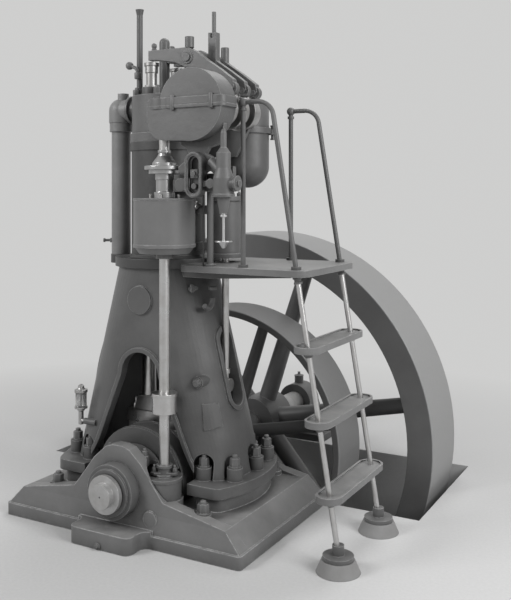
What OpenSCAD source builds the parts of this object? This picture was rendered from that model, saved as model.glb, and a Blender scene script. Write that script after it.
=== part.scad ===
// Vertical single-cylinder diesel engine on its bedplate, with an A-frame, a governor
// shaft in front of the cylinder, a platform with a ladder, a flywheel and a belt pulley.
// The origin is on the floor under the cylinder axis. The crankshaft runs along Y, with
// its free end at -Y, and Z is up. Sizes are in millimetres.

/* [Bedplate] */
// Width of the bedplate over its ledge
bed_w = 1570; // [1450:10:1800]
// Length of the bedplate along the crankshaft
bed_l = 1040; // [1000:10:1200]
// Height of the ledge round the bedplate
ledge_h = 70; // [50:5:90]
// Height of the bedplate's top face
plateau_z = 170; // [150:5:200]
// How far the sloping sides come in from the ledge
side_slope = 105; // [60:5:130]
// How far the front and back walls come in from the ledge
end_slope = 30; // [20:5:40]
// Height of the crankshaft's axis
crank_z = 270; // [250:5:300]
// Thickness of the floor of the crank pit
sump_t = 16; // [12:1:20]
// Height of the raised seat under each foot of the frame
seat_h = 80; // [70:5:100]
// Radius of the holes for the foundation bolts
foundation_r = 21; // [15:1:26]
// Distance between the foundation bolts across the engine
foundation_x = 990; // [970:4:1010]
// Distance between the foundation bolts along the crankshaft
foundation_y = 804; // [790:2:812]

/* [A-frame] */
// Height of the frame's top face
frame_top = 1450; // [1380:5:1550]
// Radius of the frame where it meets its top flange
frame_top_r = 288; // [270:2:310]
// Half width of the frame just above its feet
frame_base_x = 570; // [520:5:600]
// Half depth of the frame just above its feet
frame_base_y = 262; // [250:2:275]
// Thickness of the frame's walls
frame_wall = 42; // [30:2:50]
// Thickness of the foot flanges
foot_t = 60; // [50:2:70]
// Half depth of the foot flanges along the crankshaft
foot_y = 340; // [330:2:346]
// Radius of the foot flanges' outer edge about the cylinder's axis
foot_out = 642; // [636:2:656]
// Distance of the foot flanges' inner edge from the middle
foot_in = 352; // [340:2:356]
// Height of the crown of the arch
arch_crown = 975; // [900:5:1050]
// Radius of the round top of the arch
arch_r = 128; // [100:4:150]
// Half width of the arch at the feet
arch_foot = 430; // [400:5:450]
// Height below which the sides of the arch flare out
flare_z = 490; // [440:5:540]
// Height of the raised lips round the openings
lip_h = 14; // [8:1:20]
// Width of the raised lips
lip_w = 26; // [16:2:34]
// Width of the slot for the compressor rod
slot_w = 128; // [90:2:150]

/* [Cylinder and head] */
// Radius of the water jacket
jacket_r = 218; // [206:1:226]
// Height of the jacket's top face
jacket_top = 2170; // [2100:5:2250]
// Radius of the jacket's bottom flange
flange_r = 312; // [296:1:318]
// Thickness of the jacket's bottom flange
base_t = 52; // [40:2:60]
// Thickness of the flanges where the head meets the jacket
flange_t = 50; // [36:2:56]
// Height of the head's top face
head_top = 2440; // [2380:5:2500]
// Radius of the head
head_r = 216; // [206:1:222]

/* [Crankshaft] */
// Radius of the crankshaft
shaft_r = 75; // [60:1:85]
// Distance from the crankshaft's axis to the crankpin's
throw = 160; // [130:2:165]
// Radius of the crankpin
pin_r = 58; // [50:1:62]
// Length of the crankpin between the webs
pin_l = 130; // [110:2:150]
// Thickness of each crank web
web_t = 68; // [50:2:80]
// Angle of the crank to the left of top dead centre
crank_angle = 62; // [30:1:90]
// How far the crankshaft stands out of the front bearing
shaft_out = 80; // [66:2:100]

/* [Flywheel and pulley] */
// Radius of the flywheel
fly_r = 1326; // [1200:2:1400]
// Width of the flywheel's rim
fly_w = 480; // [400:5:520]
// Depth of the flywheel's rim
fly_rim = 165; // [120:5:190]
// Radius of the belt pulley
pulley_r = 850; // [750:5:900]
// Width of the belt pulley
pulley_w = 335; // [280:5:345]
// Depth of the belt pulley's rim
pulley_rim = 42; // [30:2:60]
// Number of spokes in each wheel
spokes = 6; // [5:1:8]
// Distance from the bedplate to the pulley
pulley_gap = 55; // [46:1:80]
// Distance from the flywheel to the outboard bearing
outboard_gap = 298; // [280:2:340]

/* [Connecting rod] */
// Length of the connecting rod between its pins
rod_l = 860; // [820:5:880]
// Radius of the rod's shank at its big end
shank_r = 46; // [36:1:52]

/* [Governor] */
// Distance of the governor shaft to the right of the crankshaft's axis
gov_x = 236; // [230:1:244]
// Distance of the governor shaft in front of the cylinder's axis
gov_y = 382; // [378:1:392]
// Radius of the governor shaft
gov_shaft_r = 29; // [24:1:32]
// Radius of the governor drum
drum_r = 166; // [140:2:172]
// Height of the governor drum
drum_h = 262; // [220:2:280]
// Height of the drum's bottom face
drum_z = 1583; // [1560:2:1620]

/* [Camshaft and gear case] */
// Distance of the camshaft to the right of the cylinder's axis
cam_x = 446; // [440:2:470]
// Height of the camshaft
cam_z = 2336; // [2300:2:2360]
// Radius of the gear case round the cam wheel
case_r = 192; // [180:2:200]
// Width of the gear case along the camshaft
case_w = 150; // [120:5:160]
// Radius of the camshaft
cam_shaft_r = 30; // [24:1:36]
// Base radius of the cams
cam_r = 92; // [80:2:100]

/* [Platform and ladder] */
// Height of the platform's top face
deck_z = 1482; // [1460:2:1520]
// Thickness of the platform
deck_t = 34; // [24:2:44]
// Distance of the platform's outer edge from the cylinder's axis
deck_out = 1052; // [950:2:1150]
// Distance from the platform's middle to each stile
stile_y = 283; // [250:1:320]
// Radius of the ladder's stiles and the handrails
stile_r = 14; // [10:1:18]
// Place of the stiles on the floor
stile_foot_x = 1222; // [1150:2:1300]
// How far the stiles lean in for each unit of height
stile_lean = 0.165; // [0.12:0.005:0.2]
// Height of the handrails
rail_z = 2350; // [2200:5:2450]
// Height of the lowest step
step_z = 373; // [330:1:420]
// Height from one step to the next
step_rise = 364; // [330:1:390]
// Width of each step
step_w = 138; // [110:2:170]
// Thickness of each step
step_t = 34; // [24:2:44]

/* [Hidden] */
$fn = 96;

// Clearance between a seated piece and its seat
seat_gap = 0.3;
// Places of the inlet, fuel and exhaust rockers along the camshaft
rocker_places = [-130, 0, 130];
// Distance of the valves to the left of the cylinder's axis
valve_x = -30;
// Place and radius of the air pipe, and the height of its top and of the elbow's axis
air_x = -352;
air_r = 58;
air_top = 2302;
elbow_z = 2376;
// Radial clearance of a running journal
run_gap = 0.08;
iron = "dimgray";
bright = "silver";
pad_colour = "gainsboro";

// Spread of the arch's sides for each unit of height above the flare
arch_slope = 0.417;
// How far the flanges between jacket and head stand out
rim_out = 8;

foot_z = plateau_z + seat_h;
foot_top = foot_z + foot_t;
pulley_y = bed_l / 2 + pulley_gap;
fly_y = pulley_y + pulley_w + 12;
outboard_y = fly_y + fly_w + outboard_gap;
shaft_back = outboard_y + 190;
cover_r = 200;
pot_r = 92;
pot_z = plateau_z + seat_h - 15;
big_end_r = 84;
big_end_y = pin_l / 2 - 1.5;
bearing_front_y = -bed_l / 2 - 40;
shaft_front = bearing_front_y - shaft_out;
boss_r = 148;
deck_bottom = deck_z - deck_t;
deck_near = stile_y + 55;

// Shapes used by several pieces

module along_y(y0, y1) {
    translate([0, y1, 0]) rotate([90, 0, 0]) linear_extrude(y1 - y0) children();
}

module rod_y(r, y0, y1) {
    translate([0, y1, 0]) rotate([90, 0, 0]) cylinder(r = r, h = y1 - y0);
}

module rod_x(r, x0, x1) {
    translate([x0, 0, 0]) rotate([0, 90, 0]) cylinder(r = r, h = x1 - x0);
}

module rounded_rect(w, l, r) {
    union() {
        square([w - 2 * r, l], center = true);
        square([w, l - 2 * r], center = true);
        for (sx = [-1, 1], sy = [-1, 1])
            translate([sx * (w / 2 - r), sy * (l / 2 - r)]) circle(r);
    }
}

module pill(w, l) {
    union() {
        square([w, l - w], center = true);
        for (s = [-1, 1]) translate([0, s * (l - w) / 2]) circle(w / 2);
    }
}

// A tube or bar that runs from one point to another
module bar(from, to, r) {
    d = to - from;
    l = norm(d);
    translate(from)
        rotate([0, acos(d[2] / l), atan2(d[1], d[0])])
            cylinder(r = r, h = l);
}

// Bedplate with its two end walls, foot seats, crank pit and oil pocket

// Outline of an end wall: low at the sides, humped over the crankshaft
module wall_outline() {
    half = bed_w / 2 - side_slope;
    hump = crank_z + 236;
    polygon([
        [-half - side_slope * 0.9, ledge_h - 1], [-half, plateau_z],
        [-300, plateau_z + 72], [-225, crank_z + 66], [-158, crank_z + 152],
        [-80, hump - 16], [-30, hump], [30, hump], [80, hump - 16],
        [158, crank_z + 152], [225, crank_z + 66], [300, plateau_z + 72],
        [half, plateau_z], [half + side_slope * 0.9, ledge_h - 1]]);
}

module end_wall(side) {
    wall_t = 72;
    outer = bed_l / 2 - end_slope;
    y0 = side < 0 ? -outer : outer - wall_t;
    along_y(y0, y0 + wall_t) wall_outline();
}

// Plan of one foot flange: its outer edge is an arc about the cylinder's axis
module foot_plan(inset) {
    inner = foot_in + inset;
    half = foot_y - inset;
    outer = foot_out - inset;
    corner = 60;
    corner_y = half - corner;
    corner_x = sqrt(pow(outer - corner, 2) - pow(corner_y, 2));
    union() {
        translate([inner, -half]) square([corner_x - inner, 2 * half]);
        for (s = [-1, 1]) translate([corner_x, s * corner_y]) circle(corner);
        intersection() {
            circle(outer, $fn = 180);
            polygon([
                [inner, -corner_y], [corner_x, -corner_y], [2 * corner_x, -2 * corner_y],
                [2 * corner_x, 2 * corner_y], [corner_x, corner_y], [inner, corner_y]]);
        }
    }
}

module pocket_plan() {
    pocket_w = 400;
    pocket_out = 135;
    fillet = 45;
    translate([0, -bed_l / 2]) union() {
        rounded_rect(pocket_w, 2 * pocket_out, 40);
        for (side = [0, 1]) mirror([side, 0]) difference() {
            translate([pocket_w / 2 - 1, -fillet]) square([fillet + 1, fillet + 20]);
            translate([pocket_w / 2 + fillet, -fillet]) circle(fillet);
        }
    }
}

module bedplate() {
    pit_x = throw + big_end_r + 24;
    pit_y = pin_l / 2 + web_t + 40;
    pocket_h = ledge_h + 22;
    spot_r = 44;
    spot_z = plateau_z + 25;
    color(iron) difference() {
        union() {
            linear_extrude(ledge_h) rounded_rect(bed_w, bed_l, 22);
            hull() {
                translate([0, 0, ledge_h - 1])
                    linear_extrude(1) square([bed_w - 24, bed_l - 24], center = true);
                translate([0, 0, plateau_z - 1]) linear_extrude(1)
                    square([bed_w - 2 * side_slope, bed_l - 2 * end_slope], center = true);
            }
            for (side = [-1, 1]) end_wall(side);
            for (side = [0, 1]) mirror([side, 0, 0])
                translate([0, 0, plateau_z - 1]) linear_extrude(seat_h + 1) foot_plan(36);
            linear_extrude(pocket_h) pocket_plan();
            translate([222, 0, 147]) rod_y(42, end_slope - bed_l / 2 - 12, end_slope - bed_l / 2 + 20);
            translate([gov_x, -gov_y, plateau_z - 1])
                cylinder(r = pot_r + 10, h = pot_z + 1 - plateau_z);
            foundation_places() cylinder(r = spot_r, h = spot_z);
        }
        translate([-pit_x, -pit_y, sump_t]) cube([2 * pit_x, 2 * pit_y, plateau_z + 400]);
        translate([0, 0, crank_z]) rod_y(boss_r + seat_gap, -bed_l, bed_l);
        translate([0, -gov_y, crank_z]) rod_y(cover_r + seat_gap, -68, 68);
        translate([-cover_r - seat_gap, -gov_y - 68, crank_z - cover_r])
            cube([2 * (cover_r + seat_gap), 136, cover_r]);
        foundation_places() translate([0, 0, -1]) cylinder(r = foundation_r, h = spot_z + 2);
        foundation_places() translate([0, 0, spot_z]) cylinder(r = spot_r + 4, h = 200);
        translate([gov_x, -gov_y, pot_z]) cylinder(r = pot_r + 5 + seat_gap, h = 400);
    }
}

module foundation_places() {
    for (sx = [-1, 1], sy = [-1, 1])
        translate([sx * foundation_x / 2, sy * foundation_y / 2, 0]) children();
}

// Main bearings: a round housing with a stepped face round the shaft
module main_bearing(face, length) {
    translate([0, 0, crank_z]) difference() {
        union() {
            rod_y(boss_r, face, face + length);
            rod_y(boss_r - 22, face - 14, face + 2);
        }
        rod_y(shaft_r + run_gap, face - 20, face + length + 5);
    }
}

module front_bearing() {
    color(iron) main_bearing(bearing_front_y, bed_l / 2 - gov_y - 30);
}

module rear_bearing() {
    color(iron) mirror([0, 1, 0]) main_bearing(-bed_l / 2 - 4, bed_l / 2 - gov_y + 6 - 60);
}

// Cover over the skew wheel on the crankshaft, beside the drive pot
module gear_cover() {
    color(iron) difference() {
        translate([0, -gov_y, crank_z]) rod_y(cover_r, -64, 64);
        translate([0, -gov_y, crank_z]) rod_y(cover_r - 16, -46, 46);
        translate([0, -gov_y, crank_z]) rod_y(shaft_r + 6, -70, 70);
        translate([gov_x, -gov_y, 0]) cylinder(r = pot_r + 5 + seat_gap, h = 600);
    }
}

// Splash guard round the crank, open at the back
module crank_guard() {
    guard_r = 284;
    back_y = -pin_l / 2 - web_t - 26;
    front_y = back_y - 141;
    color(iron) difference() {
        translate([0, 0, crank_z]) union() {
            rod_y(guard_r, front_y, back_y);
            rod_y(guard_r + 7, front_y + 12, front_y + 26);
            rod_y(guard_r + 7, back_y - 14, back_y);
        }
        translate([0, 0, crank_z]) rod_y(guard_r - 10, front_y + 10, back_y + 1);
        translate([0, 0, crank_z]) rod_y(shaft_r + 6, front_y - 10, back_y);
        translate([-400, front_y - 10, -200]) cube([800, 160, 200 + plateau_z]);
        translate([gov_x, -gov_y, 0]) cylinder(r = pot_r + 12, h = pot_z + 130);
    }
}

// A-frame: two legs that meet in a round top, with an arch through front and back

straight_foot = arch_r + arch_slope * (arch_crown - arch_r - foot_z);
flare = (arch_foot - straight_foot) / pow(flare_z - foot_z, 2);

// Half width of the arch at a height
function arch_half(z) =
    arch_r + arch_slope * (arch_crown - arch_r - z) + flare * pow(max(0, flare_z - z), 2);

module arch_outline(grow) {
    spring = arch_crown - arch_r;
    low = foot_z - 60;
    heights = concat([spring], [for (i = [0 : 8]) flare_z + i / 8 * (low - flare_z)]);
    union() {
        translate([0, spring]) circle(arch_r + grow);
        for (side = [0, 1]) mirror([side, 0]) polygon(concat(
            [[-1, low], [-1, spring]],
            [for (z = heights) [arch_half(z) + grow, z]]));
    }
}

// Solid of the frame, drawn in from the outside by the inset
module frame_solid(inset, top, bottom) {
    corner = 190;
    hull() {
        translate([0, 0, top - 1]) cylinder(r = frame_top_r - inset, h = 1, $fn = 64);
        translate([0, 0, bottom]) linear_extrude(1)
            for (sx = [-1, 1], sy = [-1, 1])
                translate([
                    sx * (frame_base_x - corner), sy * (frame_base_y - corner)])
                    circle(corner - inset, $fn = 64);
    }
}

// Slot for the compressor rod, as a solid along X
module side_slot(grow, x0, x1) {
    slot_low = 674;
    slot_high = 1095;
    translate([x0, 0, (slot_low + slot_high) / 2]) rotate([90, 0, 90])
        linear_extrude(x1 - x0) pill(slot_w + 2 * grow, slot_high - slot_low + 2 * grow);
}

foot_bolts = [[395, -233], [550, -166], [556, 60], [524, 250], [395, 288]];
pocket_r = 58;

// Places of the bolts that hold both feet
module foot_places() {
    for (side = [0, 1]) mirror([side, 0, 0])
        for (b = foot_bolts) translate([b[0], b[1], foot_top]) children();
}

// Room for one foot bolt's nut, with a round top
module nut_pocket(grow) {
    pocket_h = 84;
    union() {
        translate([0, 0, -1]) cylinder(r = pocket_r + grow, h = pocket_h + 1);
        translate([0, 0, pocket_h]) sphere(pocket_r + grow);
    }
}

// Raised pad on the right leg's front corner, as a solid that points outward
module corner_pad() {
    translate([250, -50, 0]) rotate(-38) rotate([90, 0, 90])
        linear_extrude(400) polygon([[-60, 575], [52, 590], [34, 715], [-60, 715]]);
}

module a_frame() {
    boss_h = 70;
    badge_z = 1270;
    color(iron) union() {
        difference() {
            union() {
                frame_solid(0, frame_top, foot_z);
                intersection() {
                    frame_solid(-lip_h, frame_top, foot_z);
                    union() {
                        along_y(-400, 400) intersection() {
                            arch_outline(lip_w);
                            translate([-600, foot_top + 40]) square([1200, frame_top]);
                        }
                        side_slot(lip_w, 300, 600);
                    }
                }
                intersection() {
                    frame_solid(-8, frame_top, foot_z);
                    corner_pad();
                }
                translate([0, 0, badge_z]) rod_y(80, -frame_top_r - 8, -200);
                translate([360, 0, 835]) rod_y(33, -246, -150);
                translate([0, -262, 530]) rod_x(18, -418, -330);
            }
            difference() {
                frame_solid(frame_wall, frame_top - 70, foot_z - 30);
                foot_places() nut_pocket(16);
            }
            translate([0, 0, 600]) cylinder(r = 170, h = frame_top);
            along_y(-600, 600) arch_outline(0);
            side_slot(0, 250, 700);
            translate([comp_x, 0, 1000]) cylinder(r = 26, h = 500);
            foot_places() nut_pocket(0);
        }
        for (side = [0, 1]) mirror([side, 0, 0])
            translate([0, 0, foot_z]) linear_extrude(foot_t) foot_plan(0);
        foot_places() translate([0, 0, -1]) cylinder(r = 44, h = boss_h + 1);
    }
}

// Cylinder jacket with its flanges and the compressor's pads
module cylinder_jacket() {
    color(iron) difference() {
        union() {
            translate([0, 0, frame_top]) cylinder(r = flange_r, h = base_t);
            translate([air_x, 0, frame_top]) cylinder(r = air_r + 4, h = base_t);
            translate([air_x, -40, frame_top]) cube([80, 80, base_t]);
            translate([0, 0, frame_top]) cylinder(r = jacket_r, h = jacket_top - frame_top);
            translate([0, 0, frame_top + base_t]) cylinder(r1 = jacket_r + 14, r2 = jacket_r, h = 14);
            translate([0, 0, jacket_top - flange_t])
                cylinder(r = jacket_r + rim_out, h = flange_t);
            translate([0, 0, 1640]) rod_y(62, -jacket_r - 9, 0);
        }
        translate([0, 0, frame_top - 1]) cylinder(r = 170, h = 200);
    }
}

module cylinder_head() {
    color(iron) union() {
        translate([0, 0, jacket_top]) cylinder(r = jacket_r + rim_out, h = flange_t);
        translate([0, 0, jacket_top]) cylinder(r = head_r, h = head_top - jacket_top);
        for (y = [rocker_places[0], rocker_places[2]])
            translate([valve_x, y, head_top]) cylinder(r = 56, h = 46);
        translate([valve_x, rocker_places[1], head_top]) cylinder(r = 46, h = 60);
        translate([0, 0, elbow_z]) rod_x(air_r + 8, air_x + 82, -180);
    }
}

// Air pipe on the left, its elbow into the head, and the vent pipe

module air_pipe() {
    color(iron) union() {
        translate([air_x, 0, frame_top + base_t])
            cylinder(r = air_r, h = air_top - frame_top - base_t);
        translate([air_x, 0, air_top - 54]) cylinder(r = air_r + 12, h = 54);
    }
}

module air_elbow() {
    color(iron) union() {
        translate([air_x, 0, air_top]) cylinder(r = air_r + 16, h = elbow_z - air_top);
        translate([air_x, 0, elbow_z]) sphere(air_r + 16);
        translate([air_x, 0, elbow_z]) rod_x(air_r + 10, 0, 82);
        translate([air_x + 16, 0, elbow_z]) cylinder(r = 34, h = 104);
    }
}

module vent_pipe() {
    color(iron) union() {
        translate([-166, -62, head_top]) cylinder(r = 18, h = 506);
        translate([-166, -62, head_top + 492]) cylinder(r1 = 18, r2 = 25, h = 34);
        translate([-166, -62, head_top]) cylinder(r = 28, h = 16);
    }
}

// Gear case at the head, split along the camshaft's axis

module case_outline(grow) {
    bulb_r = 95;
    bulb_x = -170;
    bulb_z = -89;
    union() {
        circle(case_r + grow);
        translate([bulb_x, bulb_z]) circle(bulb_r + grow);
        polygon([
            [bulb_x, bulb_z - bulb_r], [0, -case_r + 1], [0, 0], [bulb_x, 0]]);
        translate([gov_x - cam_x - 62, bulb_z]) square([124, 30 - bulb_z]);
    }
}

module case_body(grow) {
    translate([cam_x, -gov_y, cam_z]) along_y(-case_w / 2, case_w / 2) case_outline(grow);
}

module case_flange(z0, z1) {
    right = cam_x + case_r + 16;
    width = case_w + 20;
    translate([0, -gov_y, z0]) linear_extrude(z1 - z0) union() {
        translate([gov_x, 0]) circle(84);
        translate([gov_x, -78]) square([60, 156]);
        translate([(gov_x + 40 + right) / 2, 0])
            rounded_rect(right - gov_x - 40, width, 40);
    }
}

module gear_case_lower() {
    color(iron) difference() {
        union() {
            intersection() {
                case_body(0);
                translate([-200, -900, cam_z - 400]) cube([1200, 900, 400]);
            }
            case_flange(cam_z - 16, cam_z);
        }
        translate([gov_x, -gov_y, 1900])
            cylinder(r = gov_shaft_r + run_gap, h = cam_z - 1900 - 20);
        translate([cam_x, -gov_y, cam_z]) rod_y(cam_shaft_r + seat_gap, -70, 300);
    }
}

module gear_case_upper() {
    color(iron) difference() {
        union() {
            intersection() {
                case_body(0);
                translate([-200, -900, cam_z]) cube([1200, 900, 400]);
            }
            case_flange(cam_z, cam_z + 40);
            translate([gov_x, -gov_y, cam_z]) cylinder(r = 60, h = 52);
        }
        translate([cam_x, -gov_y, cam_z]) rod_y(cam_shaft_r + seat_gap, -70, 300);
    }
}

// Camshaft with its three cams

module cam(y, w) {
    translate([0, y, 0]) along_y(-w / 2, w / 2) hull() {
        circle(cam_r);
        rotate(-130) translate([cam_r * 0.55, 0]) circle(cam_r * 0.62);
    }
}

module camshaft() {
    color(bright) translate([cam_x, 0, cam_z]) union() {
        rod_y(cam_shaft_r, -gov_y - 60, 190);
        for (y = rocker_places) cam(y, 46);
        for (y = [-62, 68]) rod_y(cam_r + 16, y - 10, y + 10);
        rod_y(cam_r + 30, -262, -240);
    }
}

module camshaft_bearing() {
    reach = 110 - cam_x;
    color(iron) translate([cam_x, 0, cam_z]) difference() {
        union() {
            rod_y(56, 160, 184);
            along_y(160, 184) polygon([
                [-50, -10], [50, -10], [-80, -250], [reach, -250], [reach, -170]]);
        }
        rod_y(cam_shaft_r + seat_gap, 100, 250);
        translate([-cam_x, 0, -600]) cylinder(r = jacket_r + rim_out + seat_gap, h = 900);
    }
}

// Rockers on their shaft over the head
rocker_x = 228;
rocker_z = 2640;

module rocker_stand() {
    color(iron) union() {
        translate([rocker_x, 0, rocker_z]) rod_y(24, -166, 166);
        for (y = [-65, 65])
            along_y(y - 18, y + 18) polygon([
                [rocker_x - 150, head_top], [rocker_x - 34, head_top],
                [rocker_x + 36, rocker_z], [rocker_x - 36, rocker_z]]);
    }
}

// One rocker: a beam over the head, a hub on the shaft and an arm down to its cam
module rocker(y, w, reach) {
    roller_r = 38;
    swing = cam_r + roller_r + 1;
    roller_at = [cam_x + swing * cos(60), cam_z + swing * sin(60)];
    color(iron) difference() {
        union() {
            translate([rocker_x, y, rocker_z]) rod_y(38, -w / 2 - 6, w / 2 + 6);
            translate([roller_at[0], y, roller_at[1]]) rod_y(roller_r, -w / 2 + 5, w / 2 - 5);
            translate([roller_at[0], y, roller_at[1]]) rod_y(15, -w / 2 - 5, w / 2 + 5);
            along_y(y - w / 2, y + w / 2) polygon([
                [reach, rocker_z + 57], [rocker_x + 10, rocker_z + 57],
                [rocker_x + 72, rocker_z + 22], [cam_x - 86, cam_z + 281],
                [cam_x, cam_z + 223], [roller_at[0] + 14, roller_at[1] + 50],
                [roller_at[0] + 24, roller_at[1]], [roller_at[0] - 10, roller_at[1] - 12],
                [roller_at[0] - 34, roller_at[1] + 8], [cam_x - 10, cam_z + 158],
                [cam_x - 90, cam_z + 208], [rocker_x + 40, rocker_z - 58],
                [rocker_x - 10, rocker_z - 54], [rocker_x - 80, rocker_z - 22],
                [reach + 70, rocker_z - 2], [reach, rocker_z + 1]]);
        }
        translate([rocker_x, y, rocker_z]) rod_y(24 + seat_gap, -w, w);
    }
}

// Inlet rocker, with the oil cup on its hub
module inlet_rocker() {
    y = rocker_places[0];
    rocker(y, 44, valve_x - 8);
    color(iron) translate([rocker_x + 4, y, rocker_z + 56]) union() {
        cylinder(r = 20, h = 12);
        cylinder(r = 26, h = 62);
    }
}

// Fuel rocker, with the upright handle that holds it off for starting
module fuel_rocker() {
    y = rocker_places[1];
    rocker(y, 40, valve_x + 34);
    color(iron) translate([315, y, rocker_z]) difference() {
        union() {
            translate([-26, -22, -30]) cube([52, 44, 184]);
            cylinder(r = 12, h = 275);
        }
        translate([-12, -30, 122]) cube([24, 16, 40]);
    }
}

// Exhaust rocker, with a round pad behind its hub
module exhaust_rocker() {
    y = rocker_places[2];
    rocker(y, 44, valve_x - 8);
    color(iron) translate([rocker_x + 83, y, rocker_z - 20]) cylinder(r = 24, h = 108);
}

// Spring housings and the fuel valve on the head
module valve_spring(y) {
    base = head_top + 46;
    top = rocker_z - 6;
    color(bright) translate([valve_x, y, 0]) union() {
        translate([0, 0, base]) cylinder(r = 40, h = 12);
        translate([0, 0, base]) cylinder(r = 31, h = 90);
        translate([0, 0, base + 84]) cylinder(r = 37, h = 42);
        translate([0, 0, top - 24]) cylinder(r = 43, h = 18);
        translate([0, 0, top - 24]) cylinder(r = 11, h = 25);
    }
}

module inlet_spring() { valve_spring(rocker_places[0]); }
module exhaust_spring() { valve_spring(rocker_places[2]); }

module fuel_valve() {
    color(iron) translate([valve_x, rocker_places[1], head_top + 60]) union() {
        cylinder(r = 31, h = 264);
        translate([0, 0, 264]) sphere(31);
    }
}

// Fuel regulation: an oval guide beside the governor sleeve
bracket_y = -388;

module regulator_link() {
    link_x = 452;
    low = 1848;
    high = 2088;
    back = bracket_y - seat_gap;
    front = back - 44;
    color(iron) union() {
        translate([link_x, 0, (low + high) / 2]) difference() {
            union() {
                along_y(front, back) pill(108, high - low);
                along_y(front - 5, front) difference() {
                    pill(104, high - low - 4);
                    pill(84, high - low - 26);
                }
            }
            along_y(front - 1, front + 28) pill(68, high - low - 44);
            translate([0, 0, 46]) along_y(front, back + 1) pill(56, 92);
        }
        translate([link_x - 22, front + 8, 1952]) cube([44, 20, 44]);
        translate([link_x, 0, 1974]) rod_y(13, front - 4, front + 10);
        translate([link_x, 0, 1908]) rod_y(15, front + 4, front + 30);
        along_y(front + 8, back) polygon([
            [link_x - 40, 2050], [link_x - 40, 1980], [354, 1980], [354, 2010]]);
        translate([366, 0, 1916]) rod_y(36, front + 8, back);
        along_y(front + 12, back) polygon([
            [366, 1880], [link_x - 30, 1880], [link_x - 30, 1950], [366, 1950]]);
        translate([552, 0, 1922]) rod_y(25, front + 4, back);
        translate([link_x + 30, front + 12, 1908]) cube([80, 26, 28]);
    }
}

// Pump bracket: a plate in front with an arm back to the jacket
pump_x = 638;
pump_y = bracket_y - 46;

module pump_bracket() {
    arm_z = 1880;
    color(iron) difference() {
        union() {
            along_y(bracket_y, bracket_y + 30) polygon([
                [346, 2240], [612, 2240], [602, 2130], [520, 2112], [502, 2080],
                [640, 2010], [668, 2010], [668, 1880], [400, 1880], [400, 2070],
                [384, 2108], [346, 2128]]);
            translate([0, 0, arm_z]) linear_extrude(96)
                polygon([[412, -359], [560, -359], [200, -30], [110, -150]]);
            bar([542, bracket_y - 4, 2040], [604, bracket_y - 22, 1990], 26);
        }
        translate([520, 0, 1955]) rod_y(34, bracket_y - 1, bracket_y + 31);
        translate([cam_x, -gov_y, cam_z]) rod_y(case_r + seat_gap, -200, 200);
        translate([cam_x - 170, -gov_y, cam_z - 89]) rod_y(95 + seat_gap, -200, 200);
        translate([cam_x - 170, -gov_y - 200, cam_z - case_r - seat_gap]) cube([170, 400, 98]);
        cylinder(r = jacket_r + seat_gap, h = 4000);
        translate([comp_x, 0, 0]) cylinder(r = 112, h = 4000);
        pump_body(seat_gap);
    }
}

module pump_body(grow) {
    translate([pump_x, pump_y, 0]) rotate_extrude() polygon([
        [0, 1852], [60 + grow, 1852], [60 + grow, 1866], [55 + grow, 1868],
        [54 + grow, 1950], [37 + grow, 2000], [37 + grow, 2078], [20 + grow, 2104],
        [16 + grow, 2106], [16 + grow, 2180], [11 + grow, 2196], [0, 2206]]);
}

module fuel_pump() {
    color(iron) difference() {
        union() {
            pump_body(0);
            translate([pump_x, pump_y, 1921]) union() {
                rod_x(30, 0, 78);
                rod_x(40, 74, 86);
                rod_x(17, 80, 96);
            }
        }
        translate([pump_x, pump_y, 1800]) cylinder(r = 16 + seat_gap, h = 120);
    }
}

module pump_plunger() {
    color(bright) translate([pump_x, pump_y, 0]) union() {
        translate([0, 0, 1768]) cylinder(r1 = 20, r2 = 36, h = 84 - seat_gap);
        translate([0, 0, 1850]) cylinder(r = 16, h = 60);
        translate([0, 0, 1750]) cylinder(r = 18, h = 12);
        translate([0, 0, 1626]) cylinder(r = 7, h = 150);
        translate([0, 0, 1622]) cylinder(r = 45, h = 6);
        translate([0, 0, 1590]) cylinder(r1 = 8, r2 = 30, h = 34);
    }
}

module pump_rods() {
    color(iron) union() {
        translate([474, -300, deck_z]) cylinder(r = 18, h = 1880 - deck_z);
        translate([474, -300, deck_z]) cylinder(r = 32, h = 12);
        translate([432, -300, deck_z]) cylinder(r = 5, h = 1880 - deck_z);
    }
}

// Pot round the foot of the governor shaft
module drive_pot() {
    lid_z = pot_z + 96;
    color(iron) translate([gov_x, -gov_y, 0]) difference() {
        union() {
            translate([0, 0, pot_z]) cylinder(r = pot_r, h = 97);
            translate([0, 0, lid_z]) cylinder(r = pot_r + 5, h = 16);
            translate([0, 0, lid_z + 10]) cylinder(r = 48, h = 16);
            translate([0, 0, lid_z + 26]) linear_extrude(14) rotate(115) pill(62, 148);
            translate([0, 0, lid_z + 26]) cylinder(r = 34, h = 40);
            translate([0, 0, lid_z + 64]) cylinder(r = 43, h = 15);
        }
        translate([0, 0, pot_z + 60]) cylinder(r = gov_shaft_r + run_gap, h = 400);
    }
}

// Drip oiler with its cock on the left leg
module foot_oiler() {
    color("gold") translate([-446, -262, 530]) union() {
        translate([0, 0, 66]) cylinder(r = 38, h = 118);
        translate([0, 0, 184]) cylinder(r = 18, h = 30);
        translate([0, 0, -22]) cylinder(r = 15, h = 88);
        rod_x(11, 0, 28);
    }
}

// Air compressor cylinder at the right of the jacket, and its rod
comp_x = 392;

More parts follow.
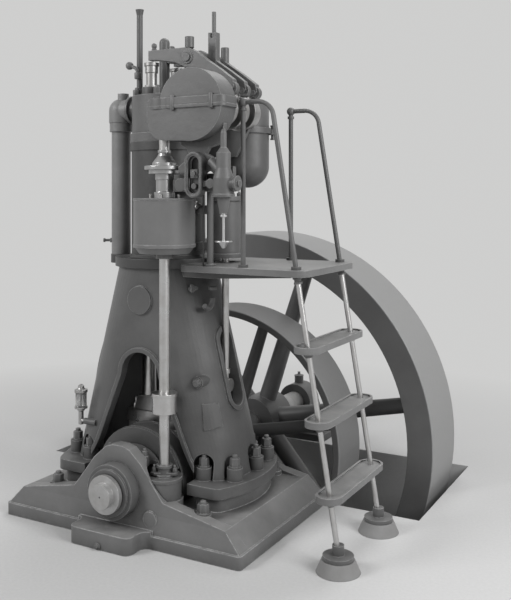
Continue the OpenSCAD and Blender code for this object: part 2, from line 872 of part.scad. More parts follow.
module air_compressor() {
    color(iron) difference() {
        union() {
            translate([comp_x, 0, deck_z + 26]) cylinder(r = 90, h = 346);
            translate([comp_x, 0, deck_z + 26]) cylinder(r = 104, h = 24);
            translate([comp_x, 0, deck_z + 348]) cylinder(r = 104, h = 24);
            for (z = [deck_z + 60, deck_z + 270]) translate([jacket_r - 20, -40, z])
                cube([comp_x - jacket_r, 80, 50]);
        }
        cylinder(r = jacket_r + seat_gap, h = 4000);
        translate([comp_x, 0, 0]) cylinder(r = 20 + seat_gap, h = deck_z + 100);
    }
}

module compressor_rod() {
    eye_z = 780;
    color(bright) union() {
        translate([comp_x, 0, eye_z]) cylinder(r = 20, h = deck_z + 80 - eye_z);
        translate([comp_x, 0, eye_z]) union() {
            rod_x(26, -34, 34);
            for (x = [-34, -6, 24]) rod_x(38, x, x + 10);
        }
        translate([comp_x, 0, eye_z + 66]) cylinder(r = 27, h = 26);
    }
}

// Exhaust pot behind the cams, joined to the head
module exhaust_pot() {
    pot_at = [352, 330];
    color(iron) difference() {
        union() {
            translate([pot_at[0], pot_at[1], 2036]) union() {
                cylinder(r = 130, h = 380);
                sphere(130);
                translate([0, 0, 196]) cylinder(r = 144, h = 34);
            }
            translate([0, 0, 2372]) rotate([0, 90, atan2(pot_at[1], pot_at[0])])
                cylinder(r = 46, h = norm(pot_at) - 60);
        }
        translate([0, 0, 2000]) cylinder(r = head_r + seat_gap, h = 900);
    }
}

// Platform, its bracket and the handrails
module platform() {
    inner = 284;
    color(iron) difference() {
        translate([(inner + deck_out) / 2, 0, deck_bottom]) linear_extrude(deck_t)
            rounded_rect(deck_out - inner, 2 * deck_near, 60);
        cylinder(r = flange_r + 6, h = 3000);
        translate([comp_x, 0, 0]) cylinder(r = 60, h = 3000);
        for (s = [-1, 1]) stile(s, stile_r + seat_gap, 0, deck_z + 100);
    }
}

module platform_bracket() {
    color(iron) difference() {
        for (y = [-190, 160])
            along_y(y, y + 30) polygon([
                [200, deck_bottom], [900, deck_bottom], [900, deck_bottom - 20],
                [420, deck_bottom - 46], [200, deck_bottom - 46]]);
        frame_solid(-seat_gap, frame_top, foot_z);
        translate([0, 0, frame_top - 1]) cylinder(r = flange_r + seat_gap, h = 900);
    }
}

function stile_x(z) = stile_foot_x - stile_lean * z;

module stile(s, r, z0, z1) {
    bar([stile_x(z0), s * stile_y, z0], [stile_x(z1), s * stile_y, z1], r);
}

post_x = 668;

module handrails() {
    bend = 90;
    lean = atan(stile_lean);
    top = rail_z - bend + bend * sin(lean);
    bend_x = stile_x(top) - bend * cos(lean);
    color(iron) for (s = [-1, 1]) union() {
        translate([post_x, s * stile_y, rail_z]) sphere(24);
        translate([post_x, s * stile_y, rail_z - 44]) cylinder(r = 19, h = 14);
        translate([post_x, s * stile_y, deck_z]) cylinder(r = stile_r - 1, h = rail_z - deck_z);
        translate([post_x, s * stile_y, deck_z]) cylinder(r = 26, h = 14);
        translate([0, s * stile_y, rail_z]) rod_x(stile_r - 1, post_x, bend_x);
        stile(s, stile_r - 1, deck_z + 4, top);
        translate([stile_x(deck_z), s * stile_y, deck_z]) cylinder(r = 26, h = 16);
        translate([bend_x, s * stile_y, rail_z - bend]) rotate([90, 0, 0]) rotate(lean)
            rotate_extrude(angle = 90 - lean) translate([bend, 0]) circle(stile_r - 1.5);
    }
}

socket_z = 92;

module ladder_stiles() {
    color(bright) for (s = [-1, 1]) stile(s, stile_r, socket_z, deck_z - 3);
}

module ladder_step(z) {
    color(iron) difference() {
        translate([stile_x(z), 0, z - step_t]) linear_extrude(step_t)
            pill(step_w, 2 * (stile_y + step_w / 2));
        translate([stile_x(z), 0, z - 8]) linear_extrude(10)
            pill(step_w - 24, 2 * (stile_y + step_w / 2) - 24);
        for (s = [-1, 1]) stile(s, stile_r + seat_gap, z - 200, z + 200);
    }
}

module lower_step() { ladder_step(step_z); }
module middle_step() { ladder_step(step_z + step_rise); }
module upper_step() { ladder_step(step_z + 2 * step_rise); }

module ladder_sockets() {
    color(iron) for (s = [-1, 1]) translate([stile_foot_x - 14, s * stile_y, 0]) difference() {
        union() {
            translate([0, 0, 62]) cylinder(r = 78, h = 22);
            translate([0, 0, 84]) cylinder(r = 30, h = 50);
        }
        translate([14 - stile_foot_x, -s * stile_y, 0])
            stile(s, stile_r + seat_gap, socket_z, 400);
    }
}

module ladder_pads() {
    color(pad_colour) for (s = [-1, 1]) translate([stile_foot_x - 14, s * stile_y, 0])
        cylinder(r1 = 112, r2 = 84, h = 62);
}

// Outboard bearing on its own pedestal beyond the flywheel
module outboard_bearing() {
    color(iron) difference() {
        union() {
            translate([-260, outboard_y - 50, 0]) cube([520, 260, 50]);
            along_y(outboard_y, outboard_y + 160) polygon([
                [-210, 50], [-130, crank_z], [130, crank_z], [210, 50]]);
            translate([0, 0, crank_z]) rod_y(130, outboard_y, outboard_y + 160);
            translate([0, outboard_y + 80, crank_z + 120]) cylinder(r = 34, h = 60);
        }
        translate([0, 0, crank_z]) rod_y(shaft_r + run_gap, outboard_y - 10, outboard_y + 300);
    }
}

// Crankshaft with its throw and the skew wheel
pin_at = [-throw * sin(crank_angle), 0, crank_z + throw * cos(crank_angle)];

module web(y0) {
    along_y(y0, y0 + web_t) union() {
        translate([0, crank_z]) circle(108);
        translate([pin_at[0], pin_at[2]]) circle(80);
        translate([0, crank_z]) rotate(90 + crank_angle)
            translate([0, -80]) square([throw, 160]);
    }
}

module crankshaft() {
    color(bright) union() {
        translate([0, 0, crank_z]) rod_y(shaft_r, shaft_front + 50, -pin_l / 2 - web_t / 2);
        translate([0, 0, crank_z]) rod_y(shaft_r - 8, shaft_front, shaft_front + 60);
        translate([0, 0, crank_z]) rod_y(shaft_r + 28, bearing_front_y - 46, bearing_front_y - 20);
        translate([0, 0, crank_z]) rod_y(shaft_r, pin_l / 2 + web_t / 2, shaft_back);
        translate(pin_at) rod_y(pin_r, -pin_l / 2 - 10, pin_l / 2 + 10);
        web(-pin_l / 2 - web_t);
        web(pin_l / 2);
        translate([0, -gov_y, crank_z]) rod_y(118, -40, 40);
    }
}

// Wheels: a turned rim and hub joined by tapered spokes
module wheel(r, w, rim, hub_r, hub_w, spoke_r) {
    translate([0, w / 2, 0]) rotate([90, 0, 0]) union() {
        rotate_extrude($fn = 180) polygon([
            [r - rim, -w / 2], [r - 4, -w / 2], [r, -w / 2 + 4],
            [r, w / 2 - 4], [r - 4, w / 2], [r - rim, w / 2]]);
        difference() {
            cylinder(r = hub_r, h = hub_w, center = true);
            cylinder(r = shaft_r + seat_gap, h = hub_w + 2, center = true);
        }
        for (i = [0 : spokes - 1]) rotate(11.5 + i * 360 / spokes)
            rotate([0, 90, 0]) translate([0, 0, hub_r - 20])
                cylinder(r1 = spoke_r, r2 = spoke_r * 0.8, h = r - rim - hub_r + 30);
    }
}

module flywheel() {
    color(iron) translate([0, fly_y, crank_z])
        wheel(fly_r, fly_w, fly_rim, 170, 300, 62);
}

module belt_pulley() {
    color(iron) translate([0, pulley_y, crank_z])
        wheel(pulley_r, pulley_w, pulley_rim, 140, pulley_w - 60, 44);
}

// Governor shaft, coupling and drum
module governor_shaft() {
    color(bright) translate([gov_x, -gov_y, 0]) union() {
        translate([0, 0, pot_z + 61]) cylinder(r = gov_shaft_r, h = cam_z - 22 - pot_z - 61);
    }
}

module shaft_coupling() {
    low = 688;
    color(bright) translate([gov_x, -gov_y, low]) difference() {
        union() {
            cylinder(r = 66, h = 108);
            translate([0, 0, 90]) cylinder(r = 70, h = 18);
        }
        translate([0, 0, -1]) cylinder(r = gov_shaft_r + seat_gap, h = 120);
    }
}

module governor_drum() {
    bore = gov_shaft_r + seat_gap;
    top = drum_z + drum_h;
    color(iron) translate([gov_x, -gov_y, 0]) rotate_extrude() polygon([
        [bore, drum_z - 63], [47, drum_z - 63], [47, drum_z - 34], [136, drum_z - 34],
        [drum_r - 5, drum_z - 1], [drum_r + 3, drum_z - 1], [drum_r + 3, drum_z + 15],
        [drum_r, drum_z + 17], [drum_r, top - 13], [drum_r + 3, top - 11],
        [drum_r + 3, top - 2], [drum_r + 1, top], [56, top], [56, top + 33],
        [46, top + 36], [46, 1943], [50, 1944], [50, 1976], [85, 1976], [85, 1997],
        [106, 1997], [108, 2000], [108, 2016], [106, 2019], [66, 2019], [66, 2034],
        [55, 2050], [38, 2072], [31, 2089], [36, 2089], [36, 2104], [bore, 2104]]);
}

// Connecting rod, upright over the crankpin
module connecting_rod() {
    palm_z = 165;
    palm_t = 68;
    color(bright) translate(pin_at) difference() {
        union() {
            rod_y(big_end_r, -big_end_y, big_end_y);
            along_y(-big_end_y, big_end_y) polygon([
                [-big_end_r, 0], [big_end_r, 0], [104, 40], [104, palm_z],
                [-104, palm_z], [-104, 40]]);
            translate([-124, -56, palm_z]) cube([248, 112, palm_t]);
            for (x = [-96, 96]) translate([x, 0, palm_z + palm_t]) cylinder(r = 13, h = 62);
            along_y(-shank_r, shank_r) polygon([
                [-78, palm_z + palm_t - 1], [78, palm_z + palm_t - 1],
                [shank_r, palm_z + palm_t + 90], [-shank_r, palm_z + palm_t + 90]]);
            translate([0, 0, palm_z]) cylinder(r1 = shank_r, r2 = shank_r * 0.75, h = rod_l - palm_z);
            translate([0, 0, rod_l]) rod_y(58, -55, 55);
        }
        rod_y(pin_r + run_gap, -200, 200);
        translate([0, 0, rod_l]) rod_y(30, -200, 200);
    }
}

bedplate();
front_bearing();
rear_bearing();
gear_cover();
crank_guard();
a_frame();
cylinder_jacket();
cylinder_head();
air_pipe();
air_elbow();
vent_pipe();
gear_case_lower();
gear_case_upper();
camshaft();
camshaft_bearing();
rocker_stand();
inlet_rocker();
fuel_rocker();
exhaust_rocker();
inlet_spring();
exhaust_spring();
fuel_valve();
regulator_link();
pump_bracket();
fuel_pump();
pump_plunger();
pump_rods();
drive_pot();
foot_oiler();
air_compressor();
compressor_rod();
exhaust_pot();
platform();
platform_bracket();
handrails();
ladder_stiles();
lower_step();
middle_step();
upper_step();
ladder_sockets();
ladder_pads();
outboard_bearing();
crankshaft();
flywheel();
belt_pulley();
governor_shaft();
shaft_coupling();
governor_drum();
connecting_rod();
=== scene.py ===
# %% [markdown]
# # A vertical diesel engine, finished for a studio picture
# The engine's castings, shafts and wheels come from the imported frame. This lesson gives each
# of them its paint or its machined surface, and adds the small things that a fitter would
# add last: studs, nuts, cocks, an oil cup and thin pipes. Lengths are metres, Z is up, and the
# crankshaft lies along Y.

# %% Load the frame
import math

import bmesh
import bpy
import numpy as np
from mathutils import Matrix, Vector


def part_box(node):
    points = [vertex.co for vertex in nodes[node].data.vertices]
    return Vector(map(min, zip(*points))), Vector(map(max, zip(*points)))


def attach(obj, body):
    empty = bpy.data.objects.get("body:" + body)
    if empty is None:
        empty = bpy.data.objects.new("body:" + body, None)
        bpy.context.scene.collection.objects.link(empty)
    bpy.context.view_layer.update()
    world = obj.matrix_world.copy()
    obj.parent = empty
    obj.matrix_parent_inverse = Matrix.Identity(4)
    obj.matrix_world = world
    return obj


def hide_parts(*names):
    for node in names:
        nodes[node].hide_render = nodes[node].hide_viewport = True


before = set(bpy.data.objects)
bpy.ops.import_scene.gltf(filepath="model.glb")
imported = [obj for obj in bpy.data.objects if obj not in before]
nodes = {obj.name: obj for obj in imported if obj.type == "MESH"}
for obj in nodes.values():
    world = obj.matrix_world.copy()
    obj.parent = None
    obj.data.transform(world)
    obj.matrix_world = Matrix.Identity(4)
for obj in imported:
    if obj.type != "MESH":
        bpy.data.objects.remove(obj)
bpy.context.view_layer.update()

# %% Places that several pieces share
shaft_z = 0.270
pin_x = -0.1413
governor_x, governor_y = 0.236, -0.382
head_top = 2.440
compressor_x = 0.392
deck_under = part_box("platform")[0][2]
shaft_end_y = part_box("crankshaft")[0][1]
print("deck's underside:", round(deck_under, 3), "shaft's end:", round(shaft_end_y, 3))

# %% [markdown]
# ## Camera
# The picture was taken by a view camera held level, from the corner where the free end of the
# crankshaft and the ladder both show. A level camera keeps upright edges upright. Its lens was
# shifted down to take in the foot of the engine, and shift_y does the same here.

# %% Camera
camera_data = bpy.data.cameras.new("view_camera")
camera_data.lens = 50.24
camera_data.sensor_width = 36.0
camera_data.shift_y = -0.1766
camera_data.clip_end = 200.0
camera = bpy.data.objects.new("view_camera", camera_data)
camera.location = (2.837, -4.112, 1.8675)
camera.rotation_euler = (math.radians(90.0), 0.0, math.radians(28.687))
bpy.context.collection.objects.link(camera)
bpy.context.scene.camera = camera
bpy.context.scene.view_settings.view_transform = "Standard"
print("camera at", tuple(round(v, 3) for v in camera.location))

# %% [markdown]
# ## Light
# Soft light suits dark castings, because a small lamp would leave only its own reflection. One
# large lamp stands in front on the left, a weaker one on the right opens the shadows, and a
# third behind and above draws the upper edges. The world adds an even grey. The background
# has a grey of its own for the rays that a viewer sees it by, so it never lights the engine.


# %% Lamps and world
def soft_lamp(name, place, aim, size, power):
    """A square area lamp at a place, turned so that it looks at the aim."""
    data = bpy.data.lights.new(name, "AREA")
    data.shape = "SQUARE"
    data.size = size
    data.energy = power
    lamp = bpy.data.objects.new(name, data)
    place = np.array(place)
    back = place - np.array(aim)
    back = back / np.linalg.norm(back)
    turn = math.atan2(back[0], -back[1])
    tip = math.acos(back[2])
    lamp.location = place
    lamp.rotation_euler = (tip, 0.0, turn)
    bpy.context.collection.objects.link(lamp)
    return lamp


def seen_rays(tree):
    """1 for the rays that show the background itself: straight, mirrored or through glass."""
    path = tree.nodes.new("ShaderNodeLightPath")
    largest = path.outputs["Is Camera Ray"]
    for kind in ("Is Glossy Ray", "Is Transmission Ray"):
        larger = tree.nodes.new("ShaderNodeMath")
        larger.operation = "MAXIMUM"
        tree.links.new(largest, larger.inputs[0])
        tree.links.new(path.outputs[kind], larger.inputs[1])
        largest = larger.outputs[0]
    return largest


lamp_aim = (0.1, 0.3, 1.2)
soft_lamp("front_left_lamp", (-4.2, -5.6, 5.6), lamp_aim, 3.0, 330.0)
soft_lamp("right_lamp", (6.4, -1.2, 4.2), lamp_aim, 3.2, 300.0)
soft_lamp("top_lamp", (0.4, 3.2, 7.6), lamp_aim, 3.4, 200.0)

backdrop_grey = (0.62, 0.62, 0.615, 1.0)
world = bpy.data.worlds.new("even_grey")
bpy.context.scene.world = world
world.use_nodes = True
world_tree = world.node_tree
world_tree.nodes.clear()
world_out = world_tree.nodes.new("ShaderNodeOutputWorld")
seen_world = world_tree.nodes.new("ShaderNodeBackground")
seen_world.inputs["Color"].default_value = backdrop_grey
lighting_world = world_tree.nodes.new("ShaderNodeBackground")
lighting_world.inputs["Color"].default_value = backdrop_grey
lighting_world.inputs["Strength"].default_value = 0.50
world_mix = world_tree.nodes.new("ShaderNodeMixShader")
world_tree.links.new(seen_rays(world_tree), world_mix.inputs["Fac"])
world_tree.links.new(lighting_world.outputs["Background"], world_mix.inputs[1])
world_tree.links.new(seen_world.outputs["Background"], world_mix.inputs[2])
world_tree.links.new(world_mix.outputs["Shader"], world_out.inputs["Surface"])
print("lamps:", len(bpy.data.lights))

# %% [markdown]
# ## Meshes from arrays
# Every new piece is a surface on a grid: each point is a function of two parameters, worked
# out for the whole grid at once. The faces of a grid follow a fixed rule, so they are also
# worked out as one array.


# %% Grid helpers
def grid_faces(rows, cols, wrap_rows=False, wrap_cols=False):
    """Quads between neighbouring points of a grid. A wrapped direction joins its last line
    to its first, so a tube wraps its columns and a ring wraps both."""
    i = np.arange(rows if wrap_rows else rows - 1)
    j = np.arange(cols if wrap_cols else cols - 1)
    i, j = np.meshgrid(i, j, indexing="ij")
    first = i * cols
    second = ((i + 1) % rows) * cols
    right = (j + 1) % cols
    quads = np.stack([first + j, first + right, second + right, second + j], axis=-1)
    return quads.reshape(-1, 4)


def many(points, faces, places):
    """The same mesh at several places: points shifted by each place, faces numbered on."""
    places = np.atleast_2d(places)
    shifted = points[None, :, :] + places[:, None, :]
    step = len(points) * np.arange(len(places))
    numbered = faces[None, :, :] + step[:, None, None]
    return shifted.reshape(-1, 3), numbered.reshape(-1, faces.shape[1])


def joined(*meshes):
    """Several (points, faces) pairs as one pair."""
    count = np.cumsum([0] + [len(points) for points, _ in meshes[:-1]])
    points = np.concatenate([points for points, _ in meshes])
    faces = np.concatenate([faces + start for (_, faces), start in zip(meshes, count)])
    return points, faces


def place_piece(name, mesh, body, material, smooth_angle=35.0):
    """Puts (points, faces) into a new object, closes its poles and lets it ride on a body."""
    points, faces = mesh
    data = bpy.data.meshes.new(name)
    data.from_pydata(points.tolist(), [], faces.tolist())
    work = bmesh.new()
    work.from_mesh(data)
    bmesh.ops.remove_doubles(work, verts=work.verts, dist=1e-6)
    bmesh.ops.recalc_face_normals(work, faces=work.faces)
    work.to_mesh(data)
    work.free()
    data.shade_smooth()
    data.set_sharp_from_angle(angle=math.radians(smooth_angle))
    data.materials.append(material)
    piece = bpy.data.objects.new(name, data)
    bpy.context.collection.objects.link(piece)
    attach(piece, body)
    print(f"{name}: {len(data.polygons)} faces")
    return piece


def turned(profile, sides=32, axis="z", at=(0.0, 0.0, 0.0)):
    """A profile of (radius, height) points turned about an axis: x = r cos a, y = r sin a.
    A profile that starts and ends at radius 0 gives a closed solid."""
    profile = np.array(profile, float)
    angle = np.linspace(0.0, 2.0 * np.pi, sides, endpoint=False)
    radius = profile[:, 0][:, None]
    height = np.broadcast_to(profile[:, 1][:, None], (len(profile), sides))
    around = np.stack([radius * np.cos(angle), radius * np.sin(angle), height], axis=-1)
    points = around.reshape(-1, 3)
    if axis == "x":
        points = points[:, [2, 0, 1]]
    if axis == "y":
        points = points[:, [1, 2, 0]]
    return points + np.array(at), grid_faces(len(profile), sides, wrap_cols=True)


def disc(radius, low, high, sides=32, axis="z", at=(0.0, 0.0, 0.0)):
    """A plain round disc or pin between two heights on its axis."""
    return turned([(0, low), (radius, low), (radius, high), (0, high)], sides, axis, at)


def raised(mesh, height):
    """The mesh moved along Z."""
    points, faces = mesh
    return points + np.array([0.0, 0.0, height]), faces


def tube(path, radius, sides=12):
    """A round tube along a path. At each point a ring is set out on two axes at right angles
    to the path's direction, and the rings are joined in order. The ends are closed."""
    path = np.array(path, float)
    along = np.gradient(path, axis=0)
    along = along / np.linalg.norm(along, axis=1)[:, None]
    helper = np.where(np.abs(along[:, 2:3]) > 0.9, [[1.0, 0.0, 0.0]], [[0.0, 0.0, 1.0]])
    helper = np.broadcast_to(helper[len(path) // 2], path.shape)
    side = np.cross(along, helper)
    side = side / np.linalg.norm(side, axis=1)[:, None]
    up = np.cross(side, along)
    angle = np.linspace(0.0, 2.0 * np.pi, sides, endpoint=False)
    ring = np.cos(angle)[None, :, None] * side[:, None, :]
    ring = ring + np.sin(angle)[None, :, None] * up[:, None, :]
    radius = np.broadcast_to(np.asarray(radius, float), (len(path),))
    rings = path[:, None, :] + radius[:, None, None] * ring
    ends = np.repeat(path[[0, -1]][:, None, :], sides, axis=1)
    rings = np.concatenate([ends[:1], rings, ends[1:]])
    return rings.reshape(-1, 3), grid_faces(len(path) + 2, sides, wrap_cols=True)


def smooth_path(corners, bend, steps=7):
    """A path through corner points whose inner corners are rounded. At each corner the path
    leaves one leg at the bend distance and joins the next along a quadratic curve."""
    corners = [np.array(c, float) for c in corners]
    t = np.linspace(0.0, 1.0, steps)[:, None]
    parts = [corners[0][None, :]]
    for before, corner, after in zip(corners[:-2], corners[1:-1], corners[2:]):
        back = before - corner
        front = after - corner
        start = corner + back * min(bend / np.linalg.norm(back), 0.5)
        end = corner + front * min(bend / np.linalg.norm(front), 0.5)
        parts.append((1 - t) ** 2 * start + 2 * t * (1 - t) * corner + t**2 * end)
    parts.append(corners[-1][None, :])
    return np.concatenate(parts)


def hexagon(flats, height, chamfer=0.12, sides=48):
    """A hexagonal nut: the outline's radius is half the flats over the cosine of the angle
    from the nearest flat, and a cone cuts its corners at the top."""
    angle = np.linspace(0.0, 2.0 * np.pi, sides, endpoint=False)
    sixth = np.pi / 3.0
    from_flat = (angle + sixth / 2.0) % sixth - sixth / 2.0
    outline = flats / 2.0 / np.cos(from_flat)
    drop = chamfer * height
    heights = np.array([0.0, 0.0, height - drop, height, height])
    cap = flats / 2.0 * np.array([0.0, 2.0, 2.0, 1.0, 0.0])
    radius = np.minimum(outline[None, :], cap[:, None])
    ring = np.stack([radius * np.cos(angle), radius * np.sin(angle)], axis=-1)
    level = np.broadcast_to(heights[:, None, None], (len(heights), sides, 1))
    points = np.concatenate([ring, level], axis=-1).reshape(-1, 3)
    return points, grid_faces(len(heights), sides, wrap_cols=True)


def turned_to(mesh, axis):
    """The same mesh with its Z axis laid along another axis."""
    points, faces = mesh
    order = {"x": [2, 0, 1], "-x": [2, 0, 1], "y": [1, 2, 0], "-y": [1, 2, 0], "z": [0, 1, 2]}
    points = points[:, order[axis]].copy()
    if axis.startswith("-"):
        points[:, "xy".index(axis[1])] *= -1.0
    return points, faces


def stud_set(flats, nut_h, stud_r, stud_out, washer_r=0.0, washer_h=0.0):
    """A washer, a nut and the domed end of its stud, standing on z = 0."""
    parts = []
    if washer_h:
        parts.append(disc(washer_r, 0.0, washer_h))
    parts.append(raised(hexagon(flats, nut_h), washer_h))
    base = washer_h + nut_h - 0.002
    bulge = np.linspace(0.0, np.pi / 2.0, 5)
    dome = [(stud_r * math.cos(a), base + stud_out + 0.4 * stud_r * math.sin(a)) for a in bulge]
    parts.append(turned([(0, base), (stud_r, base)] + dome[:-1] + [(0, dome[-1][1])], 20))
    return joined(*parts)


# %% [markdown]
# ## Shared effects
# Paint, machined iron and steel share some effects: the mottling of a cast surface, fine
# grain, lines from a lathe, dust on faces that look up, an edge mask for worn paint and
# painted highlights, and painted shade in shut-in corners. Each effect is a node group, built
# once, with inputs for its size and strength. A group gives out a mask or a colour only.


# %% Node group helpers
def new_group(name, inputs, outputs):
    """An empty shader node group with the named sockets; returns it with its end nodes."""
    group = bpy.data.node_groups.new(name, "ShaderNodeTree")
    kinds = {"float": "NodeSocketFloat", "colour": "NodeSocketColor", "vector": "NodeSocketVector"}
    for socket, kind, value in inputs:
        made = group.interface.new_socket(name=socket, in_out="INPUT", socket_type=kinds[kind])
        if value is not None:
            made.default_value = value
    for socket, kind in outputs:
        group.interface.new_socket(name=socket, in_out="OUTPUT", socket_type=kinds[kind])
    start = group.nodes.new("NodeGroupInput")
    end = group.nodes.new("NodeGroupOutput")
    return group, start, end


def maths(tree, operation, a, b=None, clamp=False):
    """A Math node whose inputs are numbers or sockets."""
    node = tree.nodes.new("ShaderNodeMath")
    node.operation = operation
    node.use_clamp = clamp
    for index, value in enumerate([a, b]):
        if value is None:
            continue
        if isinstance(value, (int, float)):
            node.inputs[index].default_value = value
        else:
            tree.links.new(value, node.inputs[index])
    return node.outputs[0]


def noise(tree, vector, scale, detail=3.0, roughness=0.55):
    """A Noise texture on the given coordinates."""
    node = tree.nodes.new("ShaderNodeTexNoise")
    node.inputs["Detail"].default_value = detail
    node.inputs["Roughness"].default_value = roughness
    if isinstance(scale, (int, float)):
        node.inputs["Scale"].default_value = scale
    else:
        tree.links.new(scale, node.inputs["Scale"])
    tree.links.new(vector, node.inputs["Vector"])
    return node.outputs["Fac"]


def ramp(tree, value, low, high):
    """A value stretched so that low becomes 0 and high becomes 1."""
    node = tree.nodes.new("ShaderNodeMapRange")
    node.inputs["From Min"].default_value = low
    node.inputs["From Max"].default_value = high
    tree.links.new(value, node.inputs["Value"])
    return node.outputs["Result"]


# %% Cast surface: mottling and pits
cast_group, start, end = new_group(
    "cast_surface",
    [("Vector", "vector", None), ("Pit Scale", "float", 220.0), ("Cloud Scale", "float", 3.0)],
    [("Height", "float"), ("Cloud", "float")],
)
pits = noise(cast_group, start.outputs["Vector"], start.outputs["Pit Scale"], 4.0, 0.6)
broad = noise(cast_group, start.outputs["Vector"], 26.0, 2.0, 0.5)
height = maths(cast_group, "ADD", maths(cast_group, "MULTIPLY", pits, 0.5), broad)
cloud = noise(cast_group, start.outputs["Vector"], start.outputs["Cloud Scale"], 5.0, 0.62)
cast_group.links.new(height, end.inputs["Height"])
cast_group.links.new(ramp(cast_group, cloud, 0.3, 0.7), end.inputs["Cloud"])

# %% Settled dust: how far a face looks up, broken by noise
dust_group, start, end = new_group(
    "settled_dust", [("Vector", "vector", None), ("Amount", "float", 0.5)], [("Mask", "float")]
)
geometry = dust_group.nodes.new("ShaderNodeNewGeometry")
normal_parts = dust_group.nodes.new("ShaderNodeSeparateXYZ")
dust_group.links.new(geometry.outputs["Normal"], normal_parts.inputs[0])
upward = ramp(dust_group, normal_parts.outputs["Z"], 0.35, 1.0)
patches = ramp(dust_group, noise(dust_group, start.outputs["Vector"], 9.0, 5.0, 0.6), 0.25, 0.8)
mask = maths(dust_group, "MULTIPLY", maths(dust_group, "MULTIPLY", upward, patches),
             start.outputs["Amount"])
dust_group.links.new(mask, end.inputs["Mask"])

# %% Worn edges and painted edge highlights: where a rounded normal leaves the true one
edge_group, start, end = new_group(
    "worn_and_highlit_edges",
    [("Vector", "vector", None), ("Radius", "float", 0.006), ("Amount", "float", 0.6)],
    [("Mask", "float"), ("Rounded Normal", "vector")],
)
rounder = edge_group.nodes.new("ShaderNodeBevel")
rounder.samples = 6
edge_group.links.new(start.outputs["Radius"], rounder.inputs["Radius"])
true_normal = edge_group.nodes.new("ShaderNodeNewGeometry")
facing = edge_group.nodes.new("ShaderNodeVectorMath")
facing.operation = "DOT_PRODUCT"
edge_group.links.new(rounder.outputs["Normal"], facing.inputs[0])
edge_group.links.new(true_normal.outputs["Normal"], facing.inputs[1])
bent = maths(edge_group, "SUBTRACT", 1.0, facing.outputs["Value"])
edge = ramp(edge_group, bent, 0.010, 0.110)
broken = ramp(edge_group, noise(edge_group, start.outputs["Vector"], 34.0, 4.0, 0.65), 0.3, 0.6)
# This mask lightens edges for thinned paint and also as a painted highlight where light would
# catch them.
worn_and_highlit = maths(edge_group, "MULTIPLY", maths(edge_group, "MULTIPLY", edge, broken),
             start.outputs["Amount"])
edge_group.links.new(worn_and_highlit, end.inputs["Mask"])
edge_group.links.new(rounder.outputs["Normal"], end.inputs["Rounded Normal"])

# %% Painted corner shade: how far a corner is shut in by what stands round it
corner_shade_group, start, end = new_group(
    "painted_corner_shade",
    [("Vector", "vector", None), ("Reach", "float", 0.10), ("Amount", "float", 0.8)],
    [("Mask", "float")],
)
shut_in = corner_shade_group.nodes.new("ShaderNodeAmbientOcclusion")
shut_in.samples = 8
corner_shade_group.links.new(start.outputs["Reach"], shut_in.inputs["Distance"])
closed = ramp(corner_shade_group, maths(corner_shade_group, "SUBTRACT", 1.0, shut_in.outputs["AO"]), 0.10, 0.80)
shade_breakup = ramp(corner_shade_group, noise(corner_shade_group, start.outputs["Vector"], 22.0, 4.0, 0.6), 0.1, 0.5)
# The mask is painted shade for shut-in corners, broken up by noise.
painted_corner_shade_mask = maths(corner_shade_group, "MULTIPLY", maths(corner_shade_group, "MULTIPLY", closed, shade_breakup),
             start.outputs["Amount"])
corner_shade_group.links.new(painted_corner_shade_mask, end.inputs["Mask"])

# %% Lathe lines: fine rings round an axis
lathe_group, start, end = new_group(
    "lathe_lines",
    [("Vector", "vector", None), ("Along", "vector", (0.0, 1.0, 0.0)), ("Pitch", "float", 900.0)],
    [("Lines", "float")],
)
along_dot = lathe_group.nodes.new("ShaderNodeVectorMath")
along_dot.operation = "DOT_PRODUCT"
lathe_group.links.new(start.outputs["Vector"], along_dot.inputs[0])
lathe_group.links.new(start.outputs["Along"], along_dot.inputs[1])
cut = lathe_group.nodes.new("ShaderNodeTexNoise")
cut.noise_dimensions = "1D"
cut.inputs["Detail"].default_value = 2.0
lathe_group.links.new(maths(lathe_group, "MULTIPLY", along_dot.outputs["Value"],
                            start.outputs["Pitch"]), cut.inputs["W"])
lathe_group.links.new(cut.outputs["Fac"], end.inputs["Lines"])
print("node groups:", [g.name for g in bpy.data.node_groups])

# %% [markdown]
# ## Finishes
# Castings of this kind were filled, rubbed down and painted with a flat machinery enamel. The
# coat is even, but the iron's texture shows through, dust settles on the upper faces and the
# paint thins on the edges. The edges are also lightened as a painted highlight, and shut-in
# corners are darkened as painted shade. Machined pieces stay bare and keep the lathe's lines.


# %% Material builder
def use_group(tree, group, **values):
    """Places a node group in a material and sets its inputs; a socket is linked."""
    node = tree.nodes.new("ShaderNodeGroup")
    node.node_tree = group
    for name, value in values.items():
        socket = node.inputs[name.replace("_", " ")]
        if isinstance(value, bpy.types.NodeSocket):
            tree.links.new(value, socket)
        else:
            socket.default_value = value
    return node


def mix_colour(tree, mask, colour_a, colour_b):
    """A colour that goes from A to B with the mask; each may be a value or a socket."""
    node = tree.nodes.new("ShaderNodeMix")
    node.data_type = "RGBA"
    tree.links.new(mask, node.inputs[0])
    for index, colour in ((6, colour_a), (7, colour_b)):
        if isinstance(colour, bpy.types.NodeSocket):
            tree.links.new(colour, node.inputs[index])
        else:
            node.inputs[index].default_value = (*colour, 1.0)
    return node.outputs[2]


def grey(level, warmth=0.0):
    """A neutral colour, a little warmer where warmth is above 0."""
    return (level * (1.0 + warmth), level, level * (1.0 - warmth))


def surface_material(name, roughness=0.5, metallic=0.0, coat=0.0):
    """A material with its shader and Object coordinates, ready for its pattern."""
    material = bpy.data.materials.new(name)
    material.use_nodes = True
    tree = material.node_tree
    shader = tree.nodes["Principled BSDF"]
    shader.inputs["Roughness"].default_value = roughness
    shader.inputs["Metallic"].default_value = metallic
    shader.inputs["Coat Weight"].default_value = coat
    coordinates = tree.nodes.new("ShaderNodeTexCoord")
    return material, tree, shader, coordinates.outputs["Object"]


